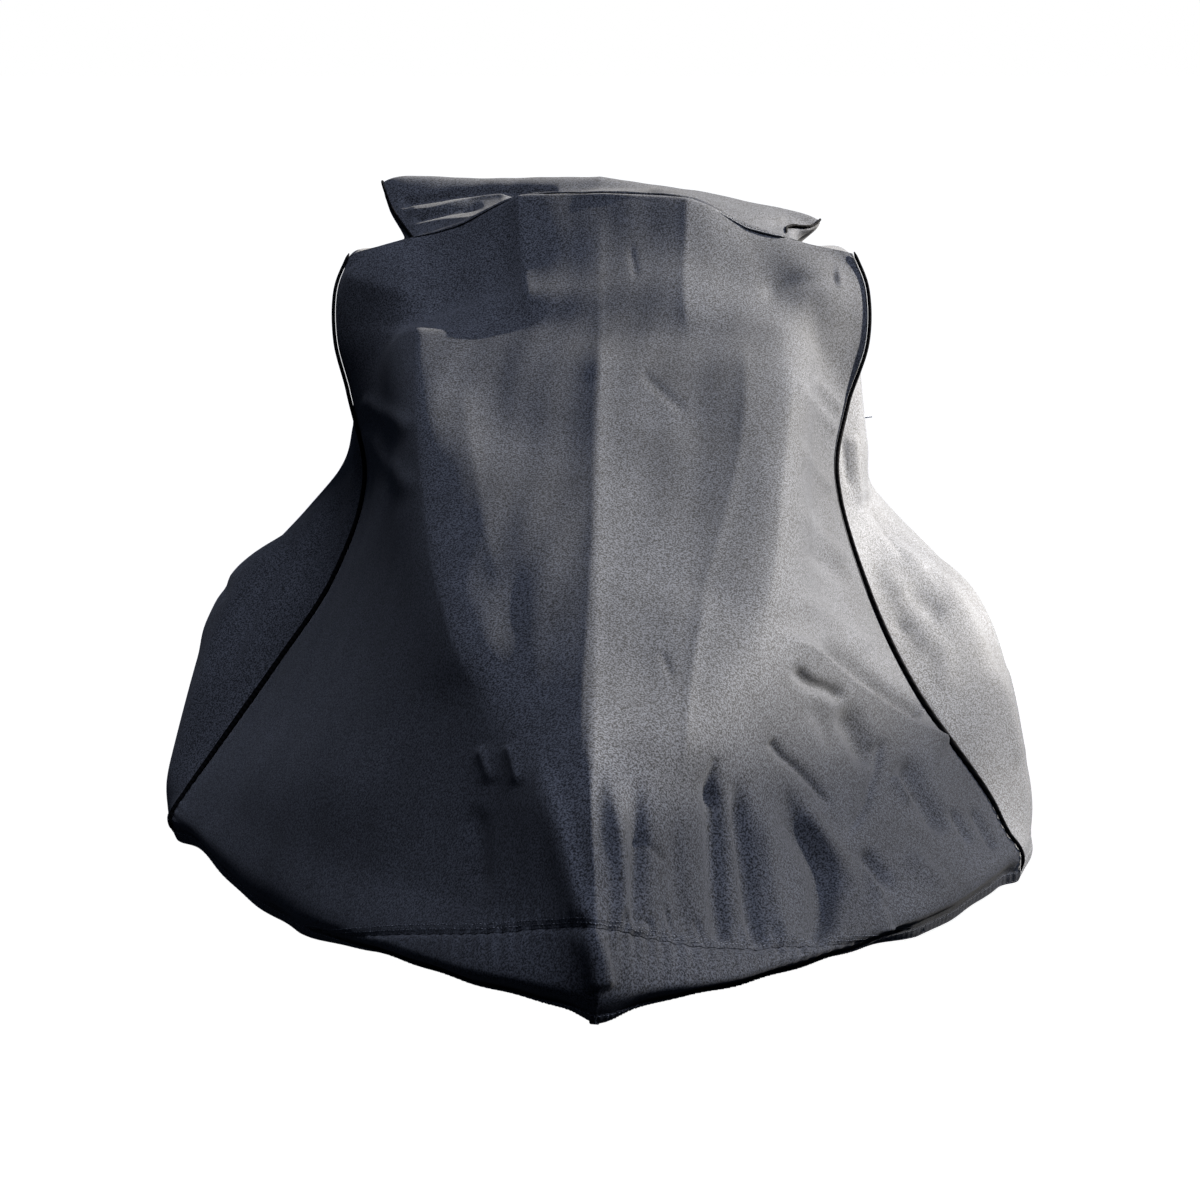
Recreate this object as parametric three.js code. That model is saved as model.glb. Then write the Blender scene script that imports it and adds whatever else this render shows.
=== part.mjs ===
import * as THREE from 'three';

// A fitted cover for a personal watercraft, in the shape in which it hangs.
// Millimetres, +Z up, the bow towards -Y and the stern towards +Y.
// The tables count y from the tip of the bow and z from the hem under the bow.
// The part's origin is the point that holds the cover up, inside, under its top.

const CLOTH = 2;
const SEAM_GAP = 0.5;
const TOP_SUPPORT = { x: 0, y: 1465, z: 776 };

const PIPING = { radius: 2.5, lift: 0.3, sides: 8 };
const BINDING = { radius: 2.2, lift: 0.3, sides: 6 };

const COLOURS = {
  canvas: '#34373c',
  piping: '#17181b',
  tab: '#a9aaac',
};

// Cells of the cloth on each side of the centre line, and lengthwise.
const CELLS = { crease: 4, edge: 8, barEnd: 13, barUnder: 15, flank: 15, hood: 22, seam: 22 };
const CORNER = CELLS.hood;
const HEM = CELLS.hood + CELLS.seam;

// The tab's size, and where it is sewn: cells below the corner, and along.
const TAB = { length: 14, width: 20, thick: 2.4, lift: 0.4, below: 6, along: 4 };

// The free lower edge of the handlebar panel, in cells from the centre line.
const FLAP = { start: 4, end: 12 };

// The hood, from the hem (up 0) to its top edge (up 1). Each row gives [x, y, z]
// on the centre line, the crease, the hood's edge, the flank and the side seam.
const HOOD_COLUMNS = {
  centre: 0, crease: CELLS.crease / CELLS.hood, edge: CELLS.edge / CELLS.hood,
  flank: CELLS.flank / CELLS.hood, seam: 1,
};
const HOOD_ROWS = [
  { up: 0,
    centre: [-6, 14, -11],
    right: { crease: [58, 60, -25],
      edge: [162, 160, -52], flank: [449, 530, -131], seam: [596, 785, -166] },
    left: { crease: [-71, 60, -20],
      edge: [-188, 190, -51], flank: [-431, 560, -137], seam: [-619, 880, -142] } },
  { up: 0.03,
    centre: [-2, 0, 30],
    right: { crease: [61, 45, 18], edge: [166, 140, -9], flank: [452, 515, -87], seam: [598, 778, -125] },
    left: { crease: [-73, 45, 24],
      edge: [-188, 170, -7], flank: [-433, 545, -92], seam: [-626, 875, -106] } },
  { up: 0.08,
    centre: [-4, 18, 102],
    right: { crease: [58, 90, 67], edge: [135, 190, 40], flank: [415, 545, -36], seam: [581, 800, -100] },
    left: { crease: [-66, 90, 79],
      edge: [-142, 195, 56], flank: [-402, 560, -18], seam: [-608, 895, -75] } },
  { up: 0.19,
    centre: [-10, 150, 194],
    right: { crease: [66, 190, 173],
      edge: [148, 290, 141], flank: [355, 560, 46], seam: [552, 835, -48] },
    left: { crease: [-73, 190, 179],
      edge: [-137, 290, 154], flank: [-352, 570, 80], seam: [-573, 925, -29] } },
  { up: 0.35,
    centre: [-7, 380, 284],
    right: { crease: [95, 400, 272],
      edge: [206, 480, 273], flank: [333, 680, 166], seam: [455, 895, 84] },
    left: { crease: [-87, 400, 278],
      edge: [-180, 480, 280], flank: [-319, 680, 187], seam: [-481, 985, 94] } },
  { up: 0.5,
    centre: [-6, 590, 380],
    right: { crease: [114, 610, 369],
      edge: [239, 680, 379], flank: [308, 830, 294], seam: [391, 965, 215] },
    left: { crease: [-106, 610, 382],
      edge: [-220, 680, 379], flank: [-307, 830, 301], seam: [-400, 1050, 211] } },
  { up: 0.66,
    centre: [-4, 800, 483],
    right: { crease: [128, 815, 480],
      edge: [258, 860, 486], flank: [307, 960, 417], seam: [350, 1045, 363] },
    left: { crease: [-124, 815, 480],
      edge: [-247, 860, 486], flank: [-303, 960, 417], seam: [-355, 1115, 348] } },
  { up: 0.79,
    centre: [-1, 970, 581],
    right: { crease: [134, 985, 579],
      edge: [269, 1030, 580], flank: [331, 1080, 518], seam: [372, 1125, 466] },
    left: { crease: [-130, 985, 579],
      edge: [-264, 1030, 580], flank: [-330, 1080, 514], seam: [-382, 1165, 477] } },
  { up: 0.85,
    centre: [0, 1040, 629],
    right: { crease: [134, 1050, 624],
      edge: [262, 1075, 603], flank: [329, 1112, 576], seam: [402, 1160, 547] },
    left: { crease: [-124, 1050, 617],
      edge: [-252, 1068, 594], flank: [-322, 1108, 569], seam: [-401, 1185, 548] } },
  { up: 0.92,
    centre: [1, 1125, 690],
    right: { crease: [131, 1130, 680],
      edge: [250, 1132, 640], flank: [325, 1158, 643], seam: [406, 1202, 622] },
    left: { crease: [-120, 1127, 664],
      edge: [-232, 1118, 618], flank: [-308, 1150, 642], seam: [-402, 1208, 621] } },
  { up: 1,
    centre: [6, 1215, 771],
    right: { crease: [132, 1218, 763],
      edge: [219, 1225, 725], flank: [308, 1232, 695], seam: [388, 1242, 677] },
    left: { crease: [-119, 1218, 765],
      edge: [-214, 1225, 721], flank: [-308, 1232, 697], seam: [-383, 1240, 675] } },
];

// The bow seam crosses the hood this far up on the centre line and meets the
// hem at this cell. Under it lies the bow patch, with its upright seam at a cell.
const BOW_SEAM = { up: 0.08, end: 14, tip: 0.003 };
const PATCH = { rows: 3, seam: -2 };

// The cover behind the hood. Each section gives [x, z] or [x, z, y] on its
// lines, from the top's centre over the handlebar's end to the rail and the hem.
const BODY_COLUMNS = {
  centre: 0, crown: 7, barEnd: CELLS.barEnd, barUnder: CELLS.barUnder, corner: CORNER,
  waist: CORNER + 7, hip: CORNER + 10, skirt: CORNER + 14, rail: CORNER + 19, hem: HEM,
};
const BODY_SECTIONS = [
  { cells: 1, y: 1300,
    centre: [0, 754],
    right: { crown: [165, 752], barEnd: [292, 708, 1315], barUnder: [310, 684, 1310],
      corner: [398, 652, 1300],
      waist: [398, 392, 1130], hip: [412, 285, 1100], skirt: [560, 165, 1060],
      rail: [638, -62, 945], hem: [640, -162, 905] },
    left: { crown: [-165, 722], barEnd: [-295, 692, 1328], barUnder: [-310, 674, 1322],
      corner: [-398, 648, 1300],
      waist: [-380, 388, 1180], hip: [-412, 285, 1150], skirt: [-560, 178, 1120],
      rail: [-646, -60, 975], hem: [-647, -148, 965] } },
  { cells: 3, y: 1400,
    centre: [0, 762],
    right: { crown: [175, 757, 1375], barEnd: [335, 706, 1365], barUnder: [314, 680, 1362],
      corner: [388, 590, 1380],
      waist: [418, 388, 1250], hip: [440, 296, 1245], skirt: [600, 128, 1250],
      rail: [641, -48, 1180], hem: [634, -180, 1150] },
    left: { crown: [-175, 742, 1395], barEnd: [-335, 732, 1418], barUnder: [-312, 686, 1404],
      corner: [-380, 590, 1380],
      waist: [-392, 385, 1270], hip: [-430, 308, 1260], skirt: [-590, 135, 1260],
      rail: [-645, -45, 1190], hem: [-638, -170, 1170] } },
  { cells: 2, y: 1465,
    centre: [0, 778],
    right: { crown: [190, 745, 1435], barEnd: [352, 712, 1405], barUnder: [311, 672, 1405],
      corner: [368, 530, 1440],
      waist: [410, 385, 1400], hip: [430, 300, 1410], skirt: [590, 112, 1430],
      rail: [639, -42, 1430], hem: [624, -184, 1420] },
    left: { crown: [-190, 774, 1470], barEnd: [-354, 767, 1482], barUnder: [-310, 684, 1455],
      corner: [-356, 530, 1450],
      waist: [-406, 385, 1420], hip: [-430, 300, 1420], skirt: [-590, 112, 1430],
      rail: [-640, -42, 1430], hem: [-626, -180, 1420] } },
  { cells: 2, y: 1555,
    centre: [0, 735],
    right: { crown: [180, 712, 1530], barEnd: [330, 682, 1490], barUnder: [314, 644, 1500],
      corner: [334, 480, 1540],
      waist: [408, 352], hip: [430, 262],
      skirt: [584, 100, 1600], rail: [636, -36, 1620], hem: [611, -182, 1620] },
    left: { crown: [-190, 728, 1560], barEnd: [-332, 712, 1560], barUnder: [-310, 654, 1545],
      corner: [-334, 480, 1540],
      waist: [-408, 352], hip: [-430, 262],
      skirt: [-584, 100, 1600], rail: [-636, -36, 1620], hem: [-611, -182, 1620] } },
  { cells: 2, y: 1680,
    centre: [0, 640],
    both: { crown: [112, 632], barEnd: [188, 606], barUnder: [215, 584], corner: [284, 440],
      waist: [392, 318], hip: [428, 225],
      skirt: [572, 84, 1780], rail: [632, -36, 1820], hem: [607, -182, 1820] } },
  { cells: 2, y: 1980,
    centre: [0, 596],
    both: { crown: [92, 590], barEnd: [150, 570], barUnder: [172, 550], corner: [246, 412],
      waist: [366, 292], hip: [415, 200],
      skirt: [556, 62, 2060], rail: [626, -40, 2080], hem: [601, -182, 2080] } },
  { cells: 2, y: 2400,
    centre: [0, 628],
    both: { crown: [92, 622], barEnd: [152, 598], barUnder: [174, 574], corner: [240, 400],
      waist: [352, 262], hip: [400, 174], skirt: [540, 40], rail: [614, -52], hem: [590, -180] } },
  { cells: 2, y: 2790,
    centre: [0, 640],
    both: { crown: [88, 632], barEnd: [146, 606], barUnder: [166, 584], corner: [228, 380],
      waist: [336, 232, 2760], hip: [384, 148, 2750],
      skirt: [520, 22, 2740], rail: [600, -58, 2740], hem: [577, -178, 2740] } },
  { cells: 2, y: 2960,
    centre: [0, 470],
    both: { crown: [88, 464], barEnd: [146, 440], barUnder: [168, 420], corner: [232, 300],
      waist: [334, 190, 2950], hip: [380, 118, 2955],
      skirt: [500, 10, 2980], rail: [584, -62, 2990], hem: [562, -176, 2990] } },
  { cells: 2, y: 3120,
    centre: [0, 196],
    both: { crown: [92, 194], barEnd: [156, 186], barUnder: [180, 178], corner: [250, 140],
      waist: [344, 92, 3110], hip: [388, 54, 3116],
      skirt: [480, -4, 3130], rail: [560, -64, 3140], hem: [540, -174, 3140] } },
  { cells: 1, y: 3320,
    centre: [0, 96],
    both: { crown: [96, 94], barEnd: [166, 88], barUnder: [190, 82, 3318], corner: [270, 50, 3310],
      waist: [360, 8, 3298], hip: [396, -8, 3292],
      skirt: [460, -40, 3275], rail: [520, -72, 3245], hem: [514, -172, 3235] } },
  { cells: 1, y: 3350,
    centre: [0, -168],
    both: { crown: [96, -168], barEnd: [166, -168, 3348], barUnder: [190, -168, 3347],
      corner: [270, -168, 3338],
      waist: [360, -168, 3322], hip: [396, -168, 3312],
      skirt: [450, -168, 3294], rail: [500, -168, 3262], hem: [505, -169, 3255] } },
];

// Soft folds of the hood, seen from the front: where each runs as [x, z], how
// far it stands out (or is drawn in, below 0), and how wide it is.
const HOOD_FOLDS = [
  { from: [-62, 240], to: [-38, 180], rise: 9, width: 20 },
  { from: [-38, 180], to: [-4, 92], rise: 8, width: 16 },
  { from: [-24, 236], to: [-10, 170], rise: -10, width: 15 },
  { from: [-10, 170], to: [14, 92], rise: -12, width: 17 },
  { from: [60, 165], to: [80, 40], rise: 5, width: 16 },
  { from: [94, 150], to: [108, 30], rise: -6, width: 15 },
  { from: [128, 156], to: [141, 14], rise: -9, width: 16 },
  { from: [146, 150], to: [160, 8], rise: 6, width: 15 },
  { from: [190, 130], to: [206, -10], rise: -9, width: 18 },
  { from: [218, 160], to: [272, 20], rise: -10, width: 20 },
  { from: [272, 20], to: [262, -30], rise: -9, width: 18 },
  { from: [318, 20], to: [366, -78], rise: 9, width: 22 },
  { from: [222, 256], to: [365, 132], rise: 10, width: 26 },
  { from: [365, 132], to: [470, 10], rise: 9, width: 28 },
  { from: [214, 196], to: [318, 64], rise: -9, width: 24 },
  { from: [330, 92], to: [530, -112], rise: -10, width: 30 },
  { from: [-250, 60], to: [-262, -40], rise: -6, width: 26 },
  { from: [-116, 140], to: [-112, 30], rise: -4, width: 15 },
];

// Soft folds of the body's sides, seen from the side, as [y, z].
const SIDE_FOLDS = [
  { side: 'left', from: [1180, 330], to: [1010, 60], rise: -7, width: 30 },
  { side: 'left', from: [1240, 250], to: [1120, 60], rise: 6, width: 34 },
  { side: 'right', from: [1170, 300], to: [1000, 40], rise: -6, width: 32 },
  { side: 'right', from: [1560, 300], to: [1700, 20], rise: -9, width: 48 },
  { side: 'left', from: [1600, 300], to: [1660, 20], rise: -8, width: 50 },
  { side: 'right', from: [2060, 330], to: [2010, 10], rise: 9, width: 54 },
  { side: 'left', from: [2010, 330], to: [2060, 0], rise: 8, width: 52 },
  { side: 'right', from: [2480, 320], to: [2560, -20], rise: -10, width: 52 },
  { side: 'left', from: [2440, 330], to: [2380, -10], rise: -9, width: 50 },
  { side: 'right', from: [2800, 300], to: [2920, -20], rise: 8, width: 46 },
  { side: 'left', from: [2820, 300], to: [2900, -10], rise: 9, width: 46 },
];

// Small helpers for points.
const point = (values) => new THREE.Vector3(...values);
const mix = (a, b, share) => a.clone().lerp(b, share);

// A smooth curve through points that stand at rising knots.
function curveThrough(knots, points, at) {
  const last = knots.length - 1;
  let i = 0;
  while (i < last - 1 && at > knots[i + 1]) i += 1;
  const span = knots[i + 1] - knots[i];
  const share = (at - knots[i]) / span;
  const slope = (k) => {
    const before = Math.max(k - 1, 0);
    const after = Math.min(k + 1, last);
    return points[after].clone().sub(points[before]).divideScalar(knots[after] - knots[before]);
  };
  const start = slope(i).multiplyScalar(span);
  const end = slope(i + 1).multiplyScalar(span);
  const a = share * share * (3 - 2 * share);
  const lead = share * (1 - share) * (1 - share);
  const trail = -share * share * (1 - share);
  return mix(points[i], points[i + 1], a).addScaledVector(start, lead).addScaledVector(end, trail);
}

const sideOf = (across) => (across < 0 ? 'left' : 'right');

// How far the folds move a spot out, seen square on at (a, b). Each fold is a
// soft round ridge or trough along its line, which dies away past both ends.
const FOLD_TAIL = 1.6;
function foldRise(folds, a, b) {
  return folds.reduce((sum, { from, to, rise, width }) => {
    const length = Math.hypot(to[0] - from[0], to[1] - from[1]);
    const run = [(to[0] - from[0]) / length, (to[1] - from[1]) / length];
    const along = (a - from[0]) * run[0] + (b - from[1]) * run[1];
    const beyond = along - Math.min(length, Math.max(0, along));
    const beside = (a - from[0]) * run[1] - (b - from[1]) * run[0];
    return sum + rise * Math.exp(-((beside / width) ** 2) - (beyond / (FOLD_TAIL * width)) ** 2);
  }, 0);
}

// Folds are smoothed away towards a seam, over this many cells.
const SEAM_CALM = 1.5;
const calm = (cells) => 1 - Math.exp(-((cells / SEAM_CALM) ** 2));

// The way out of a surface at a point, from its slopes both ways.
const STEP = 1e-3;
function normalOf(shape, a, b, limitsA, limitsB) {
  const a0 = Math.max(a - STEP, limitsA[0]);
  const a1 = Math.min(a + STEP, limitsA[1]);
  const b0 = Math.max(b - STEP, limitsB[0]);
  const b1 = Math.min(b + STEP, limitsB[1]);
  const alongA = shape(a1, b).sub(shape(a0, b));
  const alongB = shape(a, b1).sub(shape(a, b0));
  return alongA.cross(alongB).normalize();
}

// The hood's cloth: across runs from -1 to 1 between the side seams, up from 0 to 1.
const hoodKnots = Object.values(HOOD_COLUMNS);
const hoodUps = HOOD_ROWS.map((row) => row.up);
function hoodForm(across, up) {
  const side = sideOf(across);
  const column = HOOD_ROWS.map((row) => {
    const points = [point(row.centre), ...Object.values(row[side]).map(point)];
    return curveThrough(hoodKnots, points, Math.abs(across));
  });
  return curveThrough(hoodUps, column, up);
}

const HOOD_LIMITS = [[-1, 1], [0, 1]];
function hoodShape(across, up) {
  const form = hoodForm(across, up);
  const ease = calm((1 - Math.abs(across)) * CELLS.hood) * calm((1 - up) * CELLS.seam);
  const rise = ease * foldRise(HOOD_FOLDS, form.x, form.z);
  return form.addScaledVector(normalOf(hoodForm, across, up, ...HOOD_LIMITS), rise);
}

// The front edge of the cover's body is the hood's top edge and side seams.
function bodyFront(cell) {
  const side = Math.sign(cell) || 1;
  const out = Math.abs(cell);
  if (out <= CORNER) return hoodShape(cell / CORNER, 1);
  return hoodShape(side, 1 - (out - CORNER) / CELLS.seam);
}

// The body's cloth: cell counts from the centre line out to the hem, along
// counts cells from the hood to the stern.
const bodyKnots = Object.values(BODY_COLUMNS);
const bodyAlong = [0];
BODY_SECTIONS.forEach((section) => bodyAlong.push(bodyAlong.at(-1) + section.cells));
function sectionPoint(section, cell) {
  const lines = section.both ?? section[sideOf(cell)];
  const flip = section.both && cell < 0 ? -1 : 1;
  const spots = [section.centre, ...Object.values(lines)];
  const points = spots.map(([x, z, y]) => point([flip * x, y ?? section.y, z]));
  return curveThrough(bodyKnots, points, Math.abs(cell));
}
function bodyForm(cell, along) {
  const stations = [bodyFront(cell), ...BODY_SECTIONS.map((section) => sectionPoint(section, cell))];
  return curveThrough(bodyAlong, stations, along);
}

// The handlebar's panels reach back over the first sections.
const BAR_SECTIONS = 4;
const BAR_BACK = bodyAlong[BAR_SECTIONS];
const BODY_LENGTH = bodyAlong.at(-1);
const BODY_LIMITS = [[-HEM, HEM], [0, BODY_LENGTH]];
function bodyShape(cell, along) {
  const form = bodyForm(cell, along);
  const ease = calm(along) * calm(Math.max(Math.abs(cell) - CELLS.barUnder, 0));
  const folds = SIDE_FOLDS.filter((fold) => fold.side === sideOf(cell));
  const rise = ease * foldRise(folds, form.y, form.z);
  return form.addScaledVector(normalOf(bodyForm, cell, along, ...BODY_LIMITS), rise);
}

// How far up the bow seam runs at a cell, from the centre line out to the hem.
function bowSeamUp(cell) {
  const out = Math.abs(cell) / BOW_SEAM.end;
  return Math.abs(cell) > BOW_SEAM.end ? 0 : Math.max(BOW_SEAM.up * (1 - out * out), BOW_SEAM.tip);
}

// The hood's rows: from 0 at the bow seam up to the top edge, and below 0 down
// the bow patch to the hem.
function hoodCell(cell, row) {
  const low = bowSeamUp(cell);
  const up = row < 0 ? low * (1 + row / PATCH.rows) : low + (1 - low) * (row / CELLS.seam);
  return hoodShape(cell / CELLS.hood, up);
}

// Every corner of the cloth's cells, worked out once.
function cornersOf(shape, [a0, a1], [b0, b1]) {
  const corners = new Map();
  for (let a = a0; a <= a1; a += 1) {
    for (let b = b0; b <= b1; b += 1) corners.set(`${a},${b}`, shape(a, b));
  }
  return (a, b) => corners.get(`${a},${b}`);
}
const hoodCorner = cornersOf(hoodCell, [-CELLS.hood, CELLS.hood], [-PATCH.rows, CELLS.seam]);
const bodyCorner = cornersOf(bodyShape, [-HEM, HEM], [0, BODY_LENGTH]);

// The way out at a corner: the mean of the ways out of the cells round it.
function addFacings(sum, corner, a, b) {
  const here = corner(a, b);
  [[1, 1], [-1, 1], [-1, -1], [1, -1]].forEach(([stepA, stepB]) => {
    const acrossA = corner(a + stepA, b);
    const acrossB = corner(a, b + stepB);
    if (!acrossA || !acrossB) return;
    const sideA = acrossA.clone().sub(here).multiplyScalar(stepA);
    const sideB = acrossB.clone().sub(here).multiplyScalar(stepB);
    sum.add(sideA.cross(sideB).normalize());
  });
  return sum;
}

// A spot is a corner and the way out of it. The hood and the body share the
// spots of the seam between them, so their edges stay parallel.
function bodySpot(cell, along) {
  const out = addFacings(new THREE.Vector3(), bodyCorner, cell, along);
  if (along === 0) {
    const beyond = Math.abs(cell) - CORNER;
    const hoodAt = beyond <= 0 ? [cell, CELLS.seam] : [Math.sign(cell) * CELLS.hood, CELLS.seam - beyond];
    addFacings(out, hoodCorner, ...hoodAt);
  }
  return { at: bodyCorner(cell, along), out: out.normalize() };
}
function hoodSpot(cell, row) {
  if (row === CELLS.seam) return bodySpot(cell, 0);
  if (Math.abs(cell) === CELLS.hood) return bodySpot(Math.sign(cell) * (HEM - Math.max(row, 0)), 0);
  const out = addFacings(new THREE.Vector3(), hoodCorner, cell, row).normalize();
  return { at: hoodCorner(cell, row), out };
}

// A closed sheet of cloth: a flat box bent so that its outer face lies on the
// spots and its inner face one thickness under them. Its rim is drawn in by
// half a seam gap.
function sheet(across, along, spotAt) {
  const box = new THREE.BoxGeometry(1, 1, 1, across, along, 1);
  const spots = [];
  for (let i = 0; i <= across; i += 1) {
    spots.push([]);
    for (let j = 0; j <= along; j += 1) spots[i].push(spotAt(i, j));
  }
  const spotNear = (i, j) => spots[Math.min(Math.max(i, 0), across)][Math.min(Math.max(j, 0), along)].at;
  const drawnIn = (i, j) => {
    const at = spotNear(i, j).clone();
    const pull = (inI, inJ) => {
      const rim = spotNear(i + inJ, j + inI).clone().sub(spotNear(i - inJ, j - inI)).normalize();
      const inward = spotNear(i + inI, j + inJ).clone().sub(spotNear(i, j));
      at.add(inward.addScaledVector(rim, -inward.dot(rim)).setLength(SEAM_GAP / 2));
    };
    if (i === 0) pull(1, 0);
    if (i === across) pull(-1, 0);
    if (j === 0) pull(0, 1);
    if (j === along) pull(0, -1);
    return at;
  };
  const corners = box.attributes.position;
  for (let k = 0; k < corners.count; k += 1) {
    const i = Math.round((corners.getX(k) + 0.5) * across);
    const j = Math.round((corners.getY(k) + 0.5) * along);
    const at = drawnIn(i, j);
    if (corners.getZ(k) < 0) at.addScaledVector(spots[i][j].out, -CLOTH);
    corners.setXYZ(k, at.x, at.y, at.z);
  }
  return box;
}

// A round bead that stands on the spots of a seam.
function bead(spots, { radius, lift, sides }) {
  const steps = spots.length - 1;
  const tube = new THREE.CylinderGeometry(radius, radius, 1, sides, steps);
  const corners = tube.attributes.position;
  for (let k = 0; k < corners.count; k += 1) {
    const ring = Math.round((0.5 - corners.getY(k)) * steps);
    const { at, out } = spots[ring];
    const before = spots[Math.max(ring - 1, 0)].at;
    const after = spots[Math.min(ring + 1, steps)].at;
    const along = after.clone().sub(before).normalize();
    const across = along.clone().cross(out).normalize();
    const up = across.clone().cross(along);
    const corner = at.clone().addScaledVector(up, radius + lift + corners.getX(k));
    corner.addScaledVector(across, corners.getZ(k));
    corners.setXYZ(k, corner.x, corner.y, corner.z);
  }
  return tube;
}

const cover = new THREE.Group();
cover.position.set(-TOP_SUPPORT.x, -TOP_SUPPORT.y, -TOP_SUPPORT.z);

function addPiece(name, geometry, colour, roughness) {
  const material = new THREE.MeshStandardMaterial({ color: colour, roughness, metalness: 0 });
  const piece = new THREE.Mesh(geometry, material);
  piece.name = name;
  cover.add(piece);
}
const CANVAS_ROUGHNESS = 0.85;
const addCloth = (name, geometry) => addPiece(name, geometry, COLOURS.canvas, CANVAS_ROUGHNESS);

// A piece of the hood between two lines and two rows.
function hoodPiece(fromCell, toCell, fromRow, toRow) {
  return sheet(toCell - fromCell, toRow - fromRow, (i, j) => hoodSpot(fromCell + i, fromRow + j));
}

// A piece of the body between two lines and two stations.
function bodyPiece(fromCell, toCell, fromStation, toStation) {
  return sheet(toCell - fromCell, toStation - fromStation, (i, j) => bodySpot(fromCell + i, fromStation + j));
}

addCloth('hood_panel', hoodPiece(-CELLS.hood, CELLS.hood, 0, CELLS.seam));
addCloth('bow_patch_left', hoodPiece(-BOW_SEAM.end, PATCH.seam, -PATCH.rows, 0));
addCloth('bow_patch_right', hoodPiece(PATCH.seam, BOW_SEAM.end, -PATCH.rows, 0));
addCloth('handlebar_panel', bodyPiece(-CELLS.barEnd, CELLS.barEnd, 0, BAR_BACK));
addCloth('handlebar_end_left', bodyPiece(-CELLS.barUnder, -CELLS.barEnd, 0, BAR_BACK));
addCloth('handlebar_end_right', bodyPiece(CELLS.barEnd, CELLS.barUnder, 0, BAR_BACK));
addCloth('side_panel_left', bodyPiece(-HEM, -CELLS.barUnder, 0, BAR_BACK));
addCloth('side_panel_right', bodyPiece(CELLS.barUnder, HEM, 0, BAR_BACK));

// Behind a seam across the cover, at the back of the handlebar's panels.
addCloth('rear_panel_left', bodyPiece(-HEM, -CELLS.barUnder, BAR_BACK, BODY_LENGTH));
addCloth('rear_panel_right', bodyPiece(CELLS.barUnder, HEM, BAR_BACK, BODY_LENGTH));
addCloth('seat_panel', bodyPiece(-CELLS.barUnder, CELLS.barUnder, BAR_BACK, BODY_LENGTH));

// Round piping along the side seams and round the handlebar's ends, and the
// bound lower edge of the handlebar panel on the right.
const sideSeam = (side) => Array.from({ length: CELLS.seam + 1 }, (_, k) => bodySpot(side * (HEM - k), 0));
const barSeam = (side) => Array.from({ length: BAR_BACK }, (_, k) => bodySpot(side * CELLS.barEnd, k + 1));
const topEdge = Array.from({ length: FLAP.end - FLAP.start + 1 }, (_, k) => bodySpot(FLAP.start + k, 0));
addPiece('side_piping_left', bead(sideSeam(-1), PIPING), COLOURS.piping, CANVAS_ROUGHNESS);
addPiece('side_piping_right', bead(sideSeam(1), PIPING), COLOURS.piping, CANVAS_ROUGHNESS);
addPiece('bar_piping_left', bead(barSeam(-1), BINDING), COLOURS.piping, CANVAS_ROUGHNESS);
addPiece('bar_piping_right', bead(barSeam(1), BINDING), COLOURS.piping, CANVAS_ROUGHNESS);
addPiece('flap_binding', bead(topEdge, BINDING), COLOURS.piping, CANVAS_ROUGHNESS);

// A short pale tab that stands out of the right side, behind the shoulder.
const tabSpot = bodySpot(CORNER + TAB.below, TAB.along);
const tab = new THREE.BoxGeometry(TAB.length, TAB.width, TAB.thick);
tab.applyQuaternion(new THREE.Quaternion().setFromUnitVectors(new THREE.Vector3(1, 0, 0), tabSpot.out));
const tabMiddle = tabSpot.at.clone().addScaledVector(tabSpot.out, TAB.lift + TAB.length / 2);
tab.translate(tabMiddle.x, tabMiddle.y, tabMiddle.z);
addPiece('side_tab', tab, COLOURS.tab, CANVAS_ROUGHNESS);

export default cover;
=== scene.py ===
# A fitted cover for a personal watercraft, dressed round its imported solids.
# The tables are in millimetres: y from the tip of the bow, z from the hem under
# the bow, as the solids' own tables are. Blender's own places are in metres.
import math

import bmesh
import bpy
import numpy as np
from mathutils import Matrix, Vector


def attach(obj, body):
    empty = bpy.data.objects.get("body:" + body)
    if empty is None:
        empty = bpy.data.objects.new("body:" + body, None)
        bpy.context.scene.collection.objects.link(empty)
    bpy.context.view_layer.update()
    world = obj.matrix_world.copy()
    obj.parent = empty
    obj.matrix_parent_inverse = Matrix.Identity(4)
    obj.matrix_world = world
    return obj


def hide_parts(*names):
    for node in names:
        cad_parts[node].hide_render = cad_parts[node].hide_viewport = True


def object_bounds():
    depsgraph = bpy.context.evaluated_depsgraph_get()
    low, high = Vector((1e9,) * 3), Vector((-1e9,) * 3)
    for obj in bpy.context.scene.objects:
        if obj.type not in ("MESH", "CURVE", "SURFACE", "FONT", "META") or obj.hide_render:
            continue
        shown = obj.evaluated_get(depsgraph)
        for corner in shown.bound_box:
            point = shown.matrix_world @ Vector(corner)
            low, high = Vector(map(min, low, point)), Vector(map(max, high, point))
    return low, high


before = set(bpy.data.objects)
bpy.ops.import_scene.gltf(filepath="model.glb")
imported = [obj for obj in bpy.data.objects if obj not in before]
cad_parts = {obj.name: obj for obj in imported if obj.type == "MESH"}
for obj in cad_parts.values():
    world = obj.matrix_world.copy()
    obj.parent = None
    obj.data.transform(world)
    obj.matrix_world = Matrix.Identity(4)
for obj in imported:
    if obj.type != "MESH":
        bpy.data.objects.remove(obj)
cad_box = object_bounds()

MM = 0.001
TOP_SUPPORT = np.array([0.0, 1465.0, 776.0])

# The photograph's view: where the camera stands, how far it looks down, and how
# many of the picture's pixels a metre spans at a metre away.
PHOTO_SIZE = 1200
CAMERA_AT = np.array([0.0, -2000.0, 1000.0])
CAMERA_DOWN = math.radians(15.1)
PIXELS_PER_TANGENT = 2095
PHOTO_CENTRE = (601, 600)
SENSOR_MM = 36

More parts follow.
